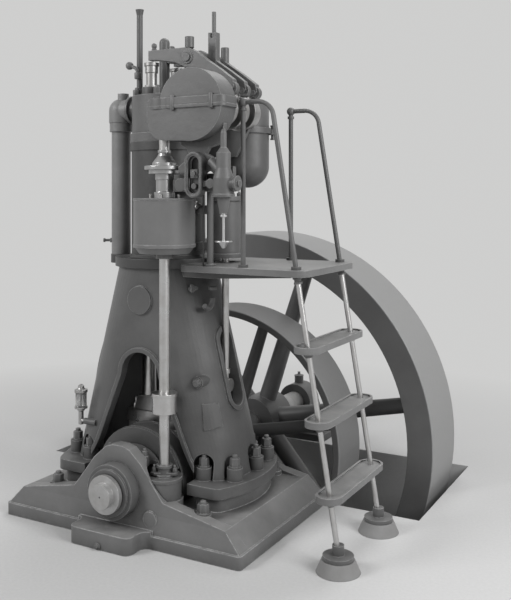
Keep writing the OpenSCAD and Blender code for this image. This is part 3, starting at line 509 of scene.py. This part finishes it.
def bump(tree, height, strength, distance, normal=None):
    """A Bump node on a height, over an optional base normal."""
    node = tree.nodes.new("ShaderNodeBump")
    node.inputs["Strength"].default_value = strength
    node.inputs["Distance"].default_value = distance
    tree.links.new(height, node.inputs["Height"])
    if normal is not None:
        tree.links.new(normal, node.inputs["Normal"])
    return node.outputs["Normal"]


# %% Painted castings
def painted(name, level, edge_radius=0.006, dust=0.45, edge_wear_and_highlight=0.5, roughness=0.42, pit=220.0):
    """Machinery enamel on iron: clouded grey, dust above, painted shade in shut-in corners,
    and edges lightened for thin paint and as a painted highlight.
    """
    material, tree, shader, place = surface_material(name, roughness)
    cast = use_group(tree, cast_group, Vector=place, Pit_Scale=pit)
    settled = use_group(tree, dust_group, Vector=place, Amount=dust)
    edges = use_group(tree, edge_group, Vector=place, Radius=edge_radius, Amount=edge_wear_and_highlight)
    corner_shade = use_group(tree, corner_shade_group, Vector=place, Reach=0.10, Amount=0.85)
    coat = mix_colour(tree, cast.outputs["Cloud"], grey(level * 0.80), grey(level * 1.16))
    dusty = mix_colour(tree, settled.outputs["Mask"], coat, grey(level * 1.7 + 0.03, 0.01))
    # Painted shade: shut-in corners are darkened toward a deep grey.
    corner_shaded = mix_colour(tree, corner_shade.outputs["Mask"], dusty, grey(level * 0.30))
    # Wear and painted highlight: the edge mask lightens the coat where the paint thins and where
    # light would catch a rounded edge.
    worn_and_highlit_coat = mix_colour(tree, edges.outputs["Mask"], corner_shaded, grey(level * 2.4 + 0.10))
    tree.links.new(worn_and_highlit_coat, shader.inputs["Base Color"])
    shine = maths(tree, "ADD", maths(tree, "MULTIPLY", cast.outputs["Cloud"], 0.10),
                  maths(tree, "MULTIPLY", settled.outputs["Mask"], 0.30))
    tree.links.new(maths(tree, "ADD", shine, roughness - 0.05), shader.inputs["Roughness"])
    normal = bump(tree, cast.outputs["Height"], 0.55, 0.0026, edges.outputs["Rounded Normal"])
    tree.links.new(normal, shader.inputs["Normal"])
    return material


engine_enamel = painted("engine_enamel", 0.106, edge_radius=0.008, edge_wear_and_highlight=0.7)
bed_enamel = painted("bed_enamel", 0.165, edge_radius=0.009, dust=0.75, edge_wear_and_highlight=0.9)
head_enamel = painted("head_enamel", 0.120, edge_radius=0.006, dust=0.5, edge_wear_and_highlight=0.8)
small_enamel = painted("small_enamel", 0.140, edge_radius=0.003, dust=0.4, edge_wear_and_highlight=0.9)
# Painted light: the air pipe and its elbow have the castings' enamel, painted lighter to stand in
# for light that the lamps don't give them.
lit_pipe_enamel = painted("lit_pipe_enamel", 0.210, edge_radius=0.003, dust=0.4, edge_wear_and_highlight=0.9)
rail_enamel = painted("rail_enamel", 0.120, edge_radius=0.002, dust=0.2, edge_wear_and_highlight=0.4)
sheet_enamel = painted("sheet_enamel", 0.095, edge_radius=0.003, dust=0.35, edge_wear_and_highlight=0.4)
step_enamel = painted("step_enamel", 0.170, edge_radius=0.004, dust=0.8, edge_wear_and_highlight=0.9)
jacket_enamel = painted("jacket_enamel", 0.052, edge_radius=0.005, dust=0.3, edge_wear_and_highlight=0.4)


# %% Machined surfaces
def machined(name, level, along, pitch=900.0, roughness=0.30, metallic=1.0, edge_radius=0.003):
    """Bare turned metal: lathe lines along an axis, and cloudy oil film in the shine."""
    material, tree, shader, place = surface_material(name, roughness, metallic)
    lines = use_group(tree, lathe_group, Vector=place, Along=along, Pitch=pitch)
    film = ramp(tree, noise(tree, place, 14.0, 4.0, 0.6), 0.3, 0.75)
    edges = use_group(tree, edge_group, Vector=place, Radius=edge_radius, Amount=0.4)
    line_colour = mix_colour(tree, lines.outputs["Lines"], grey(level * 0.82), grey(level * 1.1))
    filmed = mix_colour(tree, film, line_colour, grey(level * 0.72, 0.02))
    tree.links.new(filmed, shader.inputs["Base Color"])
    rough = maths(tree, "ADD", maths(tree, "MULTIPLY", film, 0.14), roughness - 0.04)
    tree.links.new(rough, shader.inputs["Roughness"])
    normal = bump(tree, lines.outputs["Lines"], 0.25, 0.0006, edges.outputs["Rounded Normal"])
    tree.links.new(normal, shader.inputs["Normal"])
    return material


upright_steel = machined("upright_steel", 0.62, (0.0, 0.0, 1.0))
# Painted shade: the springs are the same turned steel as the other upright pieces, painted darker
# to hold down the lamps' reflection on them.
shaded_spring_steel = machined("shaded_spring_steel", 0.36, (0.0, 0.0, 1.0), 900.0, 0.40)
level_steel = machined("level_steel", 0.55, (0.0, 1.0, 0.0))
shaft_steel = machined("shaft_steel", 0.50, (1.0, 0.0, 0.0), 700.0, 0.42, 0.7)
brass = machined("oiler_brass", 0.45, (0.0, 0.0, 1.0), 1200.0, 0.30)


# %% Enamel with a polished part
def part_polished(name, level, steel_level, height, above=True):
    """Enamel up to a height and polished steel past it; the mask is a step in z."""
    material, tree, shader, place = surface_material(name, 0.40)
    parts = tree.nodes.new("ShaderNodeSeparateXYZ")
    tree.links.new(place, parts.inputs[0])
    ends = (height - 0.001, height + 0.001) if above else (height + 0.001, height - 0.001)
    polished = ramp(tree, parts.outputs["Z"], *ends)
    cast = use_group(tree, cast_group, Vector=place)
    edges = use_group(tree, edge_group, Vector=place, Radius=0.004, Amount=0.8)
    lines = use_group(tree, lathe_group, Vector=place, Along=(0.0, 0.0, 1.0), Pitch=900.0)
    coat = mix_colour(tree, cast.outputs["Cloud"], grey(level * 0.84), grey(level * 1.14))
    # Wear and painted highlight: the edges are lightened for thin paint and as light caught on a
    # rounded edge.
    worn_and_highlit = mix_colour(tree, edges.outputs["Mask"], coat, grey(level * 2.4 + 0.10))
    steel = mix_colour(tree, lines.outputs["Lines"], grey(steel_level * 0.8),
                       grey(steel_level * 1.1))
    tree.links.new(mix_colour(tree, polished, worn_and_highlit, steel), shader.inputs["Base Color"])
    tree.links.new(maths(tree, "MULTIPLY", polished, 0.92), shader.inputs["Metallic"])
    tree.links.new(maths(tree, "SUBTRACT", 0.44, maths(tree, "MULTIPLY", polished, 0.14)),
                   shader.inputs["Roughness"])
    normal = bump(tree, cast.outputs["Height"], 0.25, 0.0014, edges.outputs["Rounded Normal"])
    tree.links.new(normal, shader.inputs["Normal"])
    return material


drum_finish = part_polished("drum_finish", 0.152, 0.42, 1.848)
plunger_finish = part_polished("plunger_finish", 0.125, 0.60, 1.770, above=False)


# %% Stone pads and glass
def stone(name, level):
    """Cut stone: a fine grain over broad clouds, matt, with small pits, and edges lightened
    as wear and as a painted highlight.
    """
    material, tree, shader, place = surface_material(name, 0.85)
    cast = use_group(tree, cast_group, Vector=place, Pit_Scale=150.0, Cloud_Scale=9.0)
    edges = use_group(tree, edge_group, Vector=place, Radius=0.006, Amount=0.5)
    body = mix_colour(tree, cast.outputs["Cloud"], grey(level * 0.84, 0.01), grey(level * 1.06))
    # Wear and painted highlight: the edge mask lightens the edges.
    tree.links.new(mix_colour(tree, edges.outputs["Mask"], body, grey(level * 1.3)),
                   shader.inputs["Base Color"])
    normal = bump(tree, cast.outputs["Height"], 0.6, 0.002, edges.outputs["Rounded Normal"])
    tree.links.new(normal, shader.inputs["Normal"])
    return material


pad_stone = stone("pad_stone", 0.255)

oil_glass, tree, shader, place = surface_material("oil_glass", 0.06)
shader.inputs["Transmission Weight"].default_value = 0.85
shader.inputs["IOR"].default_value = 1.47
smear = ramp(tree, noise(tree, place, 40.0, 3.0, 0.6), 0.35, 0.75)
tree.links.new(mix_colour(tree, smear, grey(0.62), grey(0.80)), shader.inputs["Base Color"])
tree.links.new(maths(tree, "ADD", maths(tree, "MULTIPLY", smear, 0.10), 0.04),
               shader.inputs["Roughness"])


# %% Wheels: a turned rim with a painted web and spokes
def wheel_finish(name, rim_radius, rim_level, web_level):
    """A wheel turned bright on its rim only. The mask is the distance from the shaft's axis,
    sqrt(x^2 + (z - centre)^2), past the rim's inner edge."""
    material, tree, shader, place = surface_material(name, 0.45)
    parts = tree.nodes.new("ShaderNodeSeparateXYZ")
    tree.links.new(place, parts.inputs[0])
    lift = maths(tree, "SUBTRACT", parts.outputs["Z"], shaft_z)
    square = maths(tree, "ADD", maths(tree, "MULTIPLY", parts.outputs["X"], parts.outputs["X"]),
                   maths(tree, "MULTIPLY", lift, lift))
    out = maths(tree, "SQRT", square)
    rim = ramp(tree, out, rim_radius - 0.003, rim_radius + 0.003)
    cast = use_group(tree, cast_group, Vector=place)
    settled = use_group(tree, dust_group, Vector=place, Amount=0.35)
    edges = use_group(tree, edge_group, Vector=place, Radius=0.007, Amount=0.5)
    cut = noise(tree, place, 38.0, 6.0, 0.7)
    turned_grey = mix_colour(tree, cut, grey(rim_level * 0.85), grey(rim_level * 1.12))
    web = mix_colour(tree, cast.outputs["Cloud"], grey(web_level * 0.86), grey(web_level * 1.12))
    coat = mix_colour(tree, rim, web, turned_grey)
    dusty = mix_colour(tree, settled.outputs["Mask"], coat, grey(web_level * 1.6 + 0.03, 0.01))
    # Wear and painted highlight: the edge mask lightens the edges of rim, web and spokes.
    tree.links.new(mix_colour(tree, edges.outputs["Mask"], dusty, grey(rim_level * 1.5)),
                   shader.inputs["Base Color"])
    tree.links.new(maths(tree, "ADD", maths(tree, "MULTIPLY", cut, 0.18), 0.36),
                   shader.inputs["Roughness"])
    normal = bump(tree, cast.outputs["Height"], 0.25, 0.0014, edges.outputs["Rounded Normal"])
    tree.links.new(normal, shader.inputs["Normal"])
    return material


rim_skin = 0.006
flywheel_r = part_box("flywheel")[1][2] - shaft_z
pulley_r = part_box("belt_pulley")[1][2] - shaft_z
flywheel_finish = wheel_finish("flywheel_finish", flywheel_r - rim_skin, 0.27, 0.115)
pulley_finish = wheel_finish("pulley_finish", pulley_r - rim_skin, 0.19, 0.100)
print("wheel radii:", round(flywheel_r, 3), round(pulley_r, 3))
print("materials:", len(bpy.data.materials))

# %% [markdown]
# ## Which finish each piece has
# A node's own material slot takes the finish. Anything not named here is painted iron.

# %% Hand out the finishes
finish_of = {
    "bedplate": bed_enamel,
    "a_frame": engine_enamel,
    "flywheel": flywheel_finish,
    "belt_pulley": pulley_finish,
    "crankshaft": shaft_steel,
    "cylinder_jacket": jacket_enamel,
    "air_pipe": lit_pipe_enamel,
    "air_elbow": lit_pipe_enamel,
    "vent_pipe": sheet_enamel,
    "crank_guard": sheet_enamel,
    "lower_step": step_enamel,
    "middle_step": step_enamel,
    "upper_step": step_enamel,
    "platform": step_enamel,
    "ladder_pads": pad_stone,
    "camshaft": level_steel,
    "connecting_rod": upright_steel,
    "governor_shaft": upright_steel,
    "shaft_coupling": upright_steel,
    "inlet_spring": shaded_spring_steel,
    "exhaust_spring": shaded_spring_steel,
    "pump_plunger": plunger_finish,
    "governor_drum": drum_finish,
    "compressor_rod": upright_steel,
    "ladder_stiles": upright_steel,
    "handrails": rail_enamel,
    "foot_oiler": brass,
}
for name, node in nodes.items():
    finish = finish_of.get(name, head_enamel)
    node.data.materials.clear()
    node.data.materials.append(finish)
print("finished nodes:", len(nodes))

# %% [markdown]
# ## Places of the fasteners
# Fasteners repeat: one nut is worked out on a grid and set down at each place. A ring of them
# is a set of angles on a bolt circle. Each nut stands on the face that it clamps, so the seats
# below are heights and faces of the castings, in metres.


# %% Bolt circles
def bolt_ring(centre, radius, angles, axis="z"):
    """Places on a circle about an axis: centre + radius * (cos a, sin a) in its plane."""
    a = np.radians(np.asarray(angles, float))
    flat = np.zeros_like(a)
    across = {"z": (np.cos(a), np.sin(a), flat), "y": (np.sin(a), flat, np.cos(a)),
              "x": (flat, np.cos(a), np.sin(a))}
    return np.array(centre) + radius * np.stack(across[axis], axis=-1)


def even(count, start=0.0):
    """Angles of a whole circle in equal steps."""
    return start + 360.0 / count * np.arange(count)


def set_down(name, mesh, places, body="engine", finish=None, facing="z"):
    """One small mesh at many places, as one piece that rides on a body."""
    points, faces = turned_to(mesh, facing)
    place_piece(name, many(points, faces, places), body, finish or small_enamel)


# %% [markdown]
# ## Nuts of the feet and the foundation
# Tall nuts hold the A-frame down, each on a round boss of the foot. The bedplate's own four
# nuts stand on spot-faced pads outside the feet. Both carry a washer and a domed stud end.

# %% Foot nuts and foundation nuts
foot_bolts = [(0.395, -0.233), (0.550, -0.166), (0.556, 0.060), (0.524, 0.250),
              (0.395, 0.288)]
foot_boss_top = 0.380
foot_nut_places = [(side * x, y, foot_boss_top) for side in (-1, 1) for x, y in foot_bolts]
set_down("foot_nuts", stud_set(0.050, 0.044, 0.015, 0.016, 0.034, 0.006), foot_nut_places)

foundation_x, foundation_y, foundation_seat = 0.495, 0.402, 0.195
foundation_places = [(side * foundation_x, end * foundation_y, foundation_seat)
                     for side in (-1, 1) for end in (-1, 1)]
set_down("foundation_nuts", stud_set(0.054, 0.044, 0.016, 0.014, 0.042, 0.010),
         foundation_places)

# %% [markdown]
# ## Nuts of the cylinder head
# A ring of studs holds the head. Nuts are left out of the ring where a pipe or a valve boss
# stands on the circle.

# %% Head nuts
head_nut = stud_set(0.042, 0.034, 0.013, 0.012, 0.024, 0.004)
head_circle = 0.188
head_nut_angles = [42, 75, 125, 160, 180, 225, 285, 318]
set_down("head_nuts", head_nut, bolt_ring((0, 0, head_top), head_circle, head_nut_angles))

# %% Ring of the air elbow and nuts of the compressor lid
elbow_z, elbow_end_x = 2.376, -0.268
elbow_ring = disc(0.086, 0.0, 0.018, 48, "x", (elbow_end_x, 0.0, elbow_z))
place_piece("elbow_ring", elbow_ring, "engine", small_enamel)

small_nut = stud_set(0.024, 0.018, 0.007, 0.007, 0.013, 0.002)
lid_top, lid_circle = 1.854, 0.078
set_down("compressor_nuts", small_nut,
         bolt_ring((compressor_x, 0, lid_top), lid_circle, even(6, 30)))

# %% [markdown]
# ## Nuts that move
# A nut rides on the body that it clamps: the palm nuts of the big end swing with the rod, and
# the screws in the governor's lid go round with it.

# %% Palm nuts and drum screws
palm_nut = hexagon(0.042, 0.030)
palm_bolt_x, palm_top = 0.096, 0.578
palm_places = [(pin_x + side * palm_bolt_x, 0.0, palm_top) for side in (-1, 1)]
set_down("palm_nuts", palm_nut, palm_places, "rod", level_steel)

drum_screw = turned([(0, -0.002), (0.0075, -0.002), (0.0075, 0.020), (0.004, 0.024),
                     (0, 0.024)], 14)
drum_lid, screw_circle = 1.845, 0.078
drum_places = bolt_ring((governor_x, governor_y, drum_lid), screw_circle, even(4, 20))
set_down("drum_screws", drum_screw, drum_places, "governor", level_steel)

# %% Gland nuts on the drive pot's lugs
gland_nut = stud_set(0.026, 0.020, 0.008, 0.016)
lug_top, lug_circle = 0.371, 0.054
set_down("gland_nuts", gland_nut,
         bolt_ring((governor_x, governor_y, lug_top), lug_circle, even(2, 205)))

# %% [markdown]
# ## The gear case's flange
# Two upright lugs on the flange's front edge take the bolts that draw the case together.

# %% Case lugs
case_lug = turned([(0, 2.310), (0.010, 2.310), (0.012, 2.314), (0.012, 2.382),
                   (0.010, 2.386), (0, 2.386)], 20)
flange_front = -0.464
set_down("case_lugs", case_lug, [(x, flange_front, 0.0) for x in (0.342, 0.580)])

# %% [markdown]
# ## Studs of the gear cover
# The cover beside the crankshaft is held down by a stud on each side, which stands on a short
# boss. The boss starts inside the cover, so that it grows out of its curved top.

# %% Cover studs
boss_rise = 0.004
cover_boss = disc(0.024, -0.040, boss_rise, 28)
cover_nut = raised(stud_set(0.034, 0.026, 0.010, 0.012, 0.020, 0.003), boss_rise)
cover_places = [(side * 0.118, -0.400, 0.436) for side in (1, -1)]
set_down("cover_studs", joined(cover_boss, cover_nut), cover_places)

# %% [markdown]
# ## Plugs
# The castings' holes are closed by plugs: a hexagon on a round collar. One is on the frame's
# flank, and a smaller one drains the oil pocket of the bedplate.

# %% Frame plug and drain plug
plug = joined(disc(0.026, -0.001, 0.006), raised(hexagon(0.034, 0.018), 0.005))
set_down("frame_plug", plug, [(0.360, -0.246, 0.835)], facing="-y")

drain_collar = turned([(0, -0.001), (0.019, -0.001), (0.019, 0.006), (0.015, 0.008),
                       (0, 0.008)], 32)
drain = joined(drain_collar, raised(hexagon(0.018, 0.012), 0.008))
pocket_front = -0.655
set_down("drain_plug", drain, [(0.0, pocket_front, 0.020)], facing="-y")

# %% [markdown]
# ## The lubricator at the left foot
# Oil drips to the crank from a glass cup in a brass frame: a glass wall between two brass
# plates, a valve at the top, and a stem with an elbow to the foot. A single turned profile
# makes the brass, and a second one the glass.

# %% Lubricator
cup_x, cup_y = -0.446, -0.262
cup_brass_profile = [
    (0, 0.508), (0.015, 0.508), (0.015, 0.585), (0.022, 0.590), (0.022, 0.600), (0.038, 0.602),
    (0.038, 0.612), (0.031, 0.614), (0.031, 0.616), (0.006, 0.618), (0.006, 0.690),
    (0.031, 0.692), (0.031, 0.694), (0.038, 0.696), (0.038, 0.712), (0.024, 0.716),
    (0.018, 0.724), (0.018, 0.734), (0.010, 0.740), (0.006, 0.744), (0, 0.744)]
cup_glass_profile = [(0.030, 0.613), (0.033, 0.616), (0.033, 0.692), (0.030, 0.695),
                     (0.028, 0.692), (0.028, 0.616), (0.030, 0.613)]
cup_at = (cup_x, cup_y, 0.0)
stub = disc(0.011, 0.0, 0.032, 20, "x", (cup_x - 0.001, cup_y, 0.530))
brass_parts = joined(turned(cup_brass_profile, 40, "z", cup_at), stub)
cup_brass = place_piece("oil_cup_brass", brass_parts, "engine", brass)
glass_wall = turned(cup_glass_profile, 40, "z", cup_at)
cup_glass = place_piece("oil_cup_glass", glass_wall, "engine", oil_glass)
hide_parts("foot_oiler")
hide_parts("foot_oiler")

# %% [markdown]
# ## Small things on the head
# The rockers press the valves through adjusting screws, which end in a ball and carry a lock
# nut. A short lever with a round knob at the left works the starting valve. It is one smooth
# rod from a boss on the head, with a ball at its end.

# %% Tappet screws
screw_ball = turned([(0, -0.006), (0.009, -0.006), (0.009, 0.012), (0.013, 0.018),
                     (0.016, 0.028), (0.014, 0.038), (0.008, 0.044), (0, 0.046)], 20)
lock_nut = hexagon(0.026, 0.012)
beam_top, inlet_y, exhaust_y = 2.697, -0.130, 0.130
tappets = [(-0.012, y, beam_top) for y in (inlet_y, exhaust_y)]
set_down("tappet_screws", joined(lock_nut, screw_ball), tappets)

dome = turned([(0, -0.004), (0.018, -0.004), (0.018, 0.006), (0.012, 0.016), (0, 0.020)], 20)
set_down("beam_cap", dome, [(0.113, inlet_y, beam_top)])

# %% Starting lever
lever_x, lever_y = -0.150, -0.100
lever_at = (lever_x, lever_y, 0.0)
lever_path = smooth_path([(lever_x, lever_y, 2.436), (lever_x, lever_y, 2.606),
                          (lever_x - 0.050, lever_y, 2.628)], 0.04)
lever_ball = turned([(0, -0.024), (0.012, -0.021), (0.021, -0.012), (0.024, 0),
                     (0.021, 0.012), (0.012, 0.021), (0, 0.024)], 24, "z",
                    (lever_x - 0.062, lever_y, 2.630))
lever_hub = turned([(0, 2.548), (0.020, 2.548), (0.022, 2.554), (0.022, 2.580),
                    (0.020, 2.586), (0, 2.586)], 24, "z", lever_at)
lever_foot = turned([(0, 2.438), (0.024, 2.438), (0.024, 2.462), (0.014, 2.470), (0, 2.470)],
                    24, "z", lever_at)
lever = joined(tube(lever_path, 0.0105, 14), lever_ball, lever_hub, lever_foot)
place_piece("starting_lever", lever, "engine", small_enamel)

# %% [markdown]
# ## Clamp of the exhaust pot
# The band round the pot is drawn together at one ear, where an upright bolt has a six-sided
# nut at each end.

# %% Band clamp
ear_bolt = turned([(0, 2.196), (0.017, 2.196), (0.017, 2.204), (0.012, 2.206),
                   (0.012, 2.272), (0.017, 2.274), (0.017, 2.284), (0, 2.284)], 6, "z",
                  (0.486, 0.403, 0.0))
ear = disc(0.024, 2.226, 2.258, 24, "z", (0.480, 0.400, 0.0))
place_piece("band_clamp", joined(ear_bolt, ear), "engine", small_enamel)

# %% [markdown]
# ## Outboard bearing
# Four nuts hold the outer bearing's foot to the floor, and a lid with a knob closes the hole
# for its oil.

# %% Nuts and oil lid of the outboard bearing
bearing_y, bearing_half, bearing_foot_top = 1.780, 0.090, 0.050
bearing_feet = [(side * 0.225, bearing_y + end * bearing_half, bearing_foot_top)
                for side in (-1, 1) for end in (-1, 1)]
set_down("bearing_nuts", stud_set(0.046, 0.036, 0.014, 0.014, 0.034, 0.005), bearing_feet)
oil_lid = turned([(0, 0.450), (0.036, 0.450), (0.036, 0.458), (0.012, 0.464),
                  (0.009, 0.476), (0.012, 0.482), (0, 0.486)], 28, "z", (0.0, bearing_y, 0.0))
place_piece("bearing_oil_lid", oil_lid, "engine", small_enamel)

# %% [markdown]
# ## Cocks, the drain pipe and the stiles' collars
# A three-lobed handle works a cock on the frame's shoulder and one on the jacket, and a bent
# pipe hangs from the deck to drain the compressor. The lobes are a circle whose radius swells
# three times in a turn: r = r0 * (1 + 0.28 cos 3a).


# %% Three-lobed handle
def lobed_knob(radius, thick, lobes=3, swell=0.28, sides=60):
    """A flat knob with a lobed outline and rounded rims, standing on z = 0."""
    a = np.linspace(0.0, 2.0 * np.pi, sides, endpoint=False)
    outline = radius * (1.0 + swell * np.cos(lobes * a))
    share = np.array([0.0, 0.86, 1.0, 1.0, 0.86, 0.0])[:, None]
    level = np.array([0.0, 0.0, 0.25, 0.75, 1.0, 1.0])[:, None] * thick
    ring = share * outline[None, :]
    points = np.stack([ring * np.cos(a), ring * np.sin(a), np.broadcast_to(level, ring.shape)],
                      axis=-1)
    return points.reshape(-1, 3), grid_faces(len(share), sides, wrap_cols=True)


def leaned(mesh, direction, at):
    """The mesh with its Z axis turned to a direction, then set at a point."""
    points, faces = mesh
    out = np.array(direction, float)
    out = out / np.linalg.norm(out)
    side = np.cross((0.0, 0.0, 1.0), out)
    side = side / np.linalg.norm(side)
    up = np.cross(out, side)
    return points @ np.stack([side, up, out]) + np.array(at), faces


cock_at, cock_out = (0.265, -0.166, 1.335), (0.79, -0.58, 0.20)
stem_end = 0.034
cock_stem = turned([(0, -0.012), (0.016, -0.012), (0.016, 0.006), (0.009, 0.010),
                    (0.008, stem_end), (0, stem_end)], 20)
cock = joined(cock_stem, raised(lobed_knob(0.021, 0.012), stem_end))
place_piece("frame_cock", leaned(cock, cock_out, cock_at), "engine",
            small_enamel)

# %% Drain pipe under the deck
pipe_x, pipe_y = 0.366, -0.100
drain_path = smooth_path([(pipe_x, pipe_y, deck_under + 0.004), (pipe_x, pipe_y, 1.250),
                          (pipe_x, pipe_y - 0.046, 1.222), (pipe_x, pipe_y - 0.084, 1.248)],
                         0.034)
pipe_flange = turned([(0, 0.002), (0.028, 0.002), (0.028, -0.010), (0.020, -0.014),
                      (0.020, -0.040), (0, -0.040)], 24, "z", (pipe_x, pipe_y, deck_under))
pipe_collar = disc(0.024, 1.330, 1.346, 24, "z", (pipe_x, pipe_y, 0.0))
drain_pipe = joined(tube(drain_path, 0.0145, 14), pipe_flange, pipe_collar)
place_piece("drain_pipe", drain_pipe, "engine", small_enamel)

# %% Collars on the ladder's stiles
stile_lean, stile_foot_x, stile_y = 0.165, 1.222, 0.283
deck_collar = turned([(0, 0.005), (0.025, 0.005), (0.025, -0.010), (0.018, -0.015),
                      (0.018, -0.025), (0.022, -0.029), (0.022, -0.038), (0, -0.038)], 24)
step_collar = turned([(0, 0.005), (0.027, 0.005), (0.027, -0.007), (0.017, -0.025),
                      (0, -0.025)], 24)
collars = []
for over, collar in [("platform", deck_collar), ("upper_step", step_collar),
                     ("middle_step", step_collar), ("lower_step", step_collar)]:
    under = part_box(over)[0][2]
    for side in (-1, 1):
        collar_at = (stile_foot_x - stile_lean * under, side * stile_y, under)
        collars.append(leaned(collar, (-stile_lean, 0.0, 1.0), collar_at))
place_piece("stile_collars", joined(*collars), "engine", small_enamel)

# %% Cocks on the jacket and the air pipe
jacket_cock = leaned(cock, (0.96, -0.28, 0.0), (0.2085, -0.060, 1.804))
place_piece("jacket_cock", jacket_cock, "engine", level_steel)
pipe_stub = turned([(0, -0.006), (0.014, -0.006), (0.014, 0.010), (0.008, 0.012),
                    (0.008, 0.040), (0.012, 0.042), (0.012, 0.052), (0, 0.052)], 20)
air_pipe_cock = leaned(pipe_stub, (-0.877, -0.480, 0.0), (-0.4015, -0.0271, 1.585))
place_piece("air_pipe_cock", air_pipe_cock, "engine", small_enamel)

# %% Centre mark of the crankshaft: a thin dark disc, painted shade for its centre hole
centre_hole_shade = turned([(0, -0.0006), (0.006, -0.0006), (0.0045, 0.0006), (0, 0.0006)], 20)
set_down("shaft_centre_shade", centre_hole_shade, [(0.0, shaft_end_y, shaft_z)], "crank", sheet_enamel,
         "-y")

# %% [markdown]
# ## Floor
# The wheel dips below floor level, so the floor has an opening under it, with walls and a
# bottom. Far from the engine the lamps fall off. There the floor is shown in the backdrop's own
# grey, blended in by distance from the engine, so that no horizon line shows.

# %% Floor material
fade_start, fade_end = 2.0, 4.6
floor_material, tree, shader, place = surface_material("studio_floor", 0.9)
speckle = ramp(tree, noise(tree, place, 60.0, 4.0, 0.6), 0.3, 0.7)
tree.links.new(mix_colour(tree, speckle, grey(0.56), grey(0.60)), shader.inputs["Base Color"])
level_place = tree.nodes.new("ShaderNodeVectorMath")
level_place.operation = "MULTIPLY"
level_place.inputs[1].default_value = (1.0, 1.0, 0.0)
tree.links.new(place, level_place.inputs[0])
reach = tree.nodes.new("ShaderNodeVectorMath")
reach.operation = "LENGTH"
tree.links.new(level_place.outputs["Vector"], reach.inputs[0])
far = ramp(tree, reach.outputs["Value"], fade_start, fade_end)
backdrop_glow = tree.nodes.new("ShaderNodeEmission")
backdrop_glow.inputs["Color"].default_value = backdrop_grey
floor_mix = tree.nodes.new("ShaderNodeMixShader")
tree.links.new(maths(tree, "MULTIPLY", far, seen_rays(tree)), floor_mix.inputs["Fac"])
tree.links.new(shader.outputs["BSDF"], floor_mix.inputs[1])
tree.links.new(backdrop_glow.outputs["Emission"], floor_mix.inputs[2])
tree.links.new(floor_mix.outputs["Shader"], tree.nodes["Material Output"].inputs["Surface"])

# %% Floor
floor_half = 40.0
opening_half_x, opening_front, opening_back, opening_bottom = 1.36, 0.535, 1.630, -1.15


def rectangle(half_x, front, back):
    """The four corners of a rectangle on the floor, anticlockwise."""
    return np.array([(-half_x, front), (half_x, front), (half_x, back), (-half_x, back)])


outer = rectangle(floor_half, -floor_half, floor_half)
inner = rectangle(opening_half_x, opening_front, opening_back)
ground = np.concatenate([outer, inner])
deep = np.column_stack([inner, np.full(4, opening_bottom)])
points = np.concatenate([np.column_stack([ground, np.zeros(8)]), deep])
faces = [(k, (k + 1) % 4, 4 + (k + 1) % 4, 4 + k) for k in range(4)]
faces += [(4 + k, 4 + (k + 1) % 4, 8 + (k + 1) % 4, 8 + k) for k in range(4)]
faces.append((8, 9, 10, 11))
data = bpy.data.meshes.new("floor")
data.from_pydata(points.tolist(), [], faces)
data.materials.append(floor_material)
floor = bpy.data.objects.new("floor", data)
bpy.context.collection.objects.link(floor)
print("floor opening", 2 * opening_half_x, "by", round(opening_back - opening_front, 3), "m")
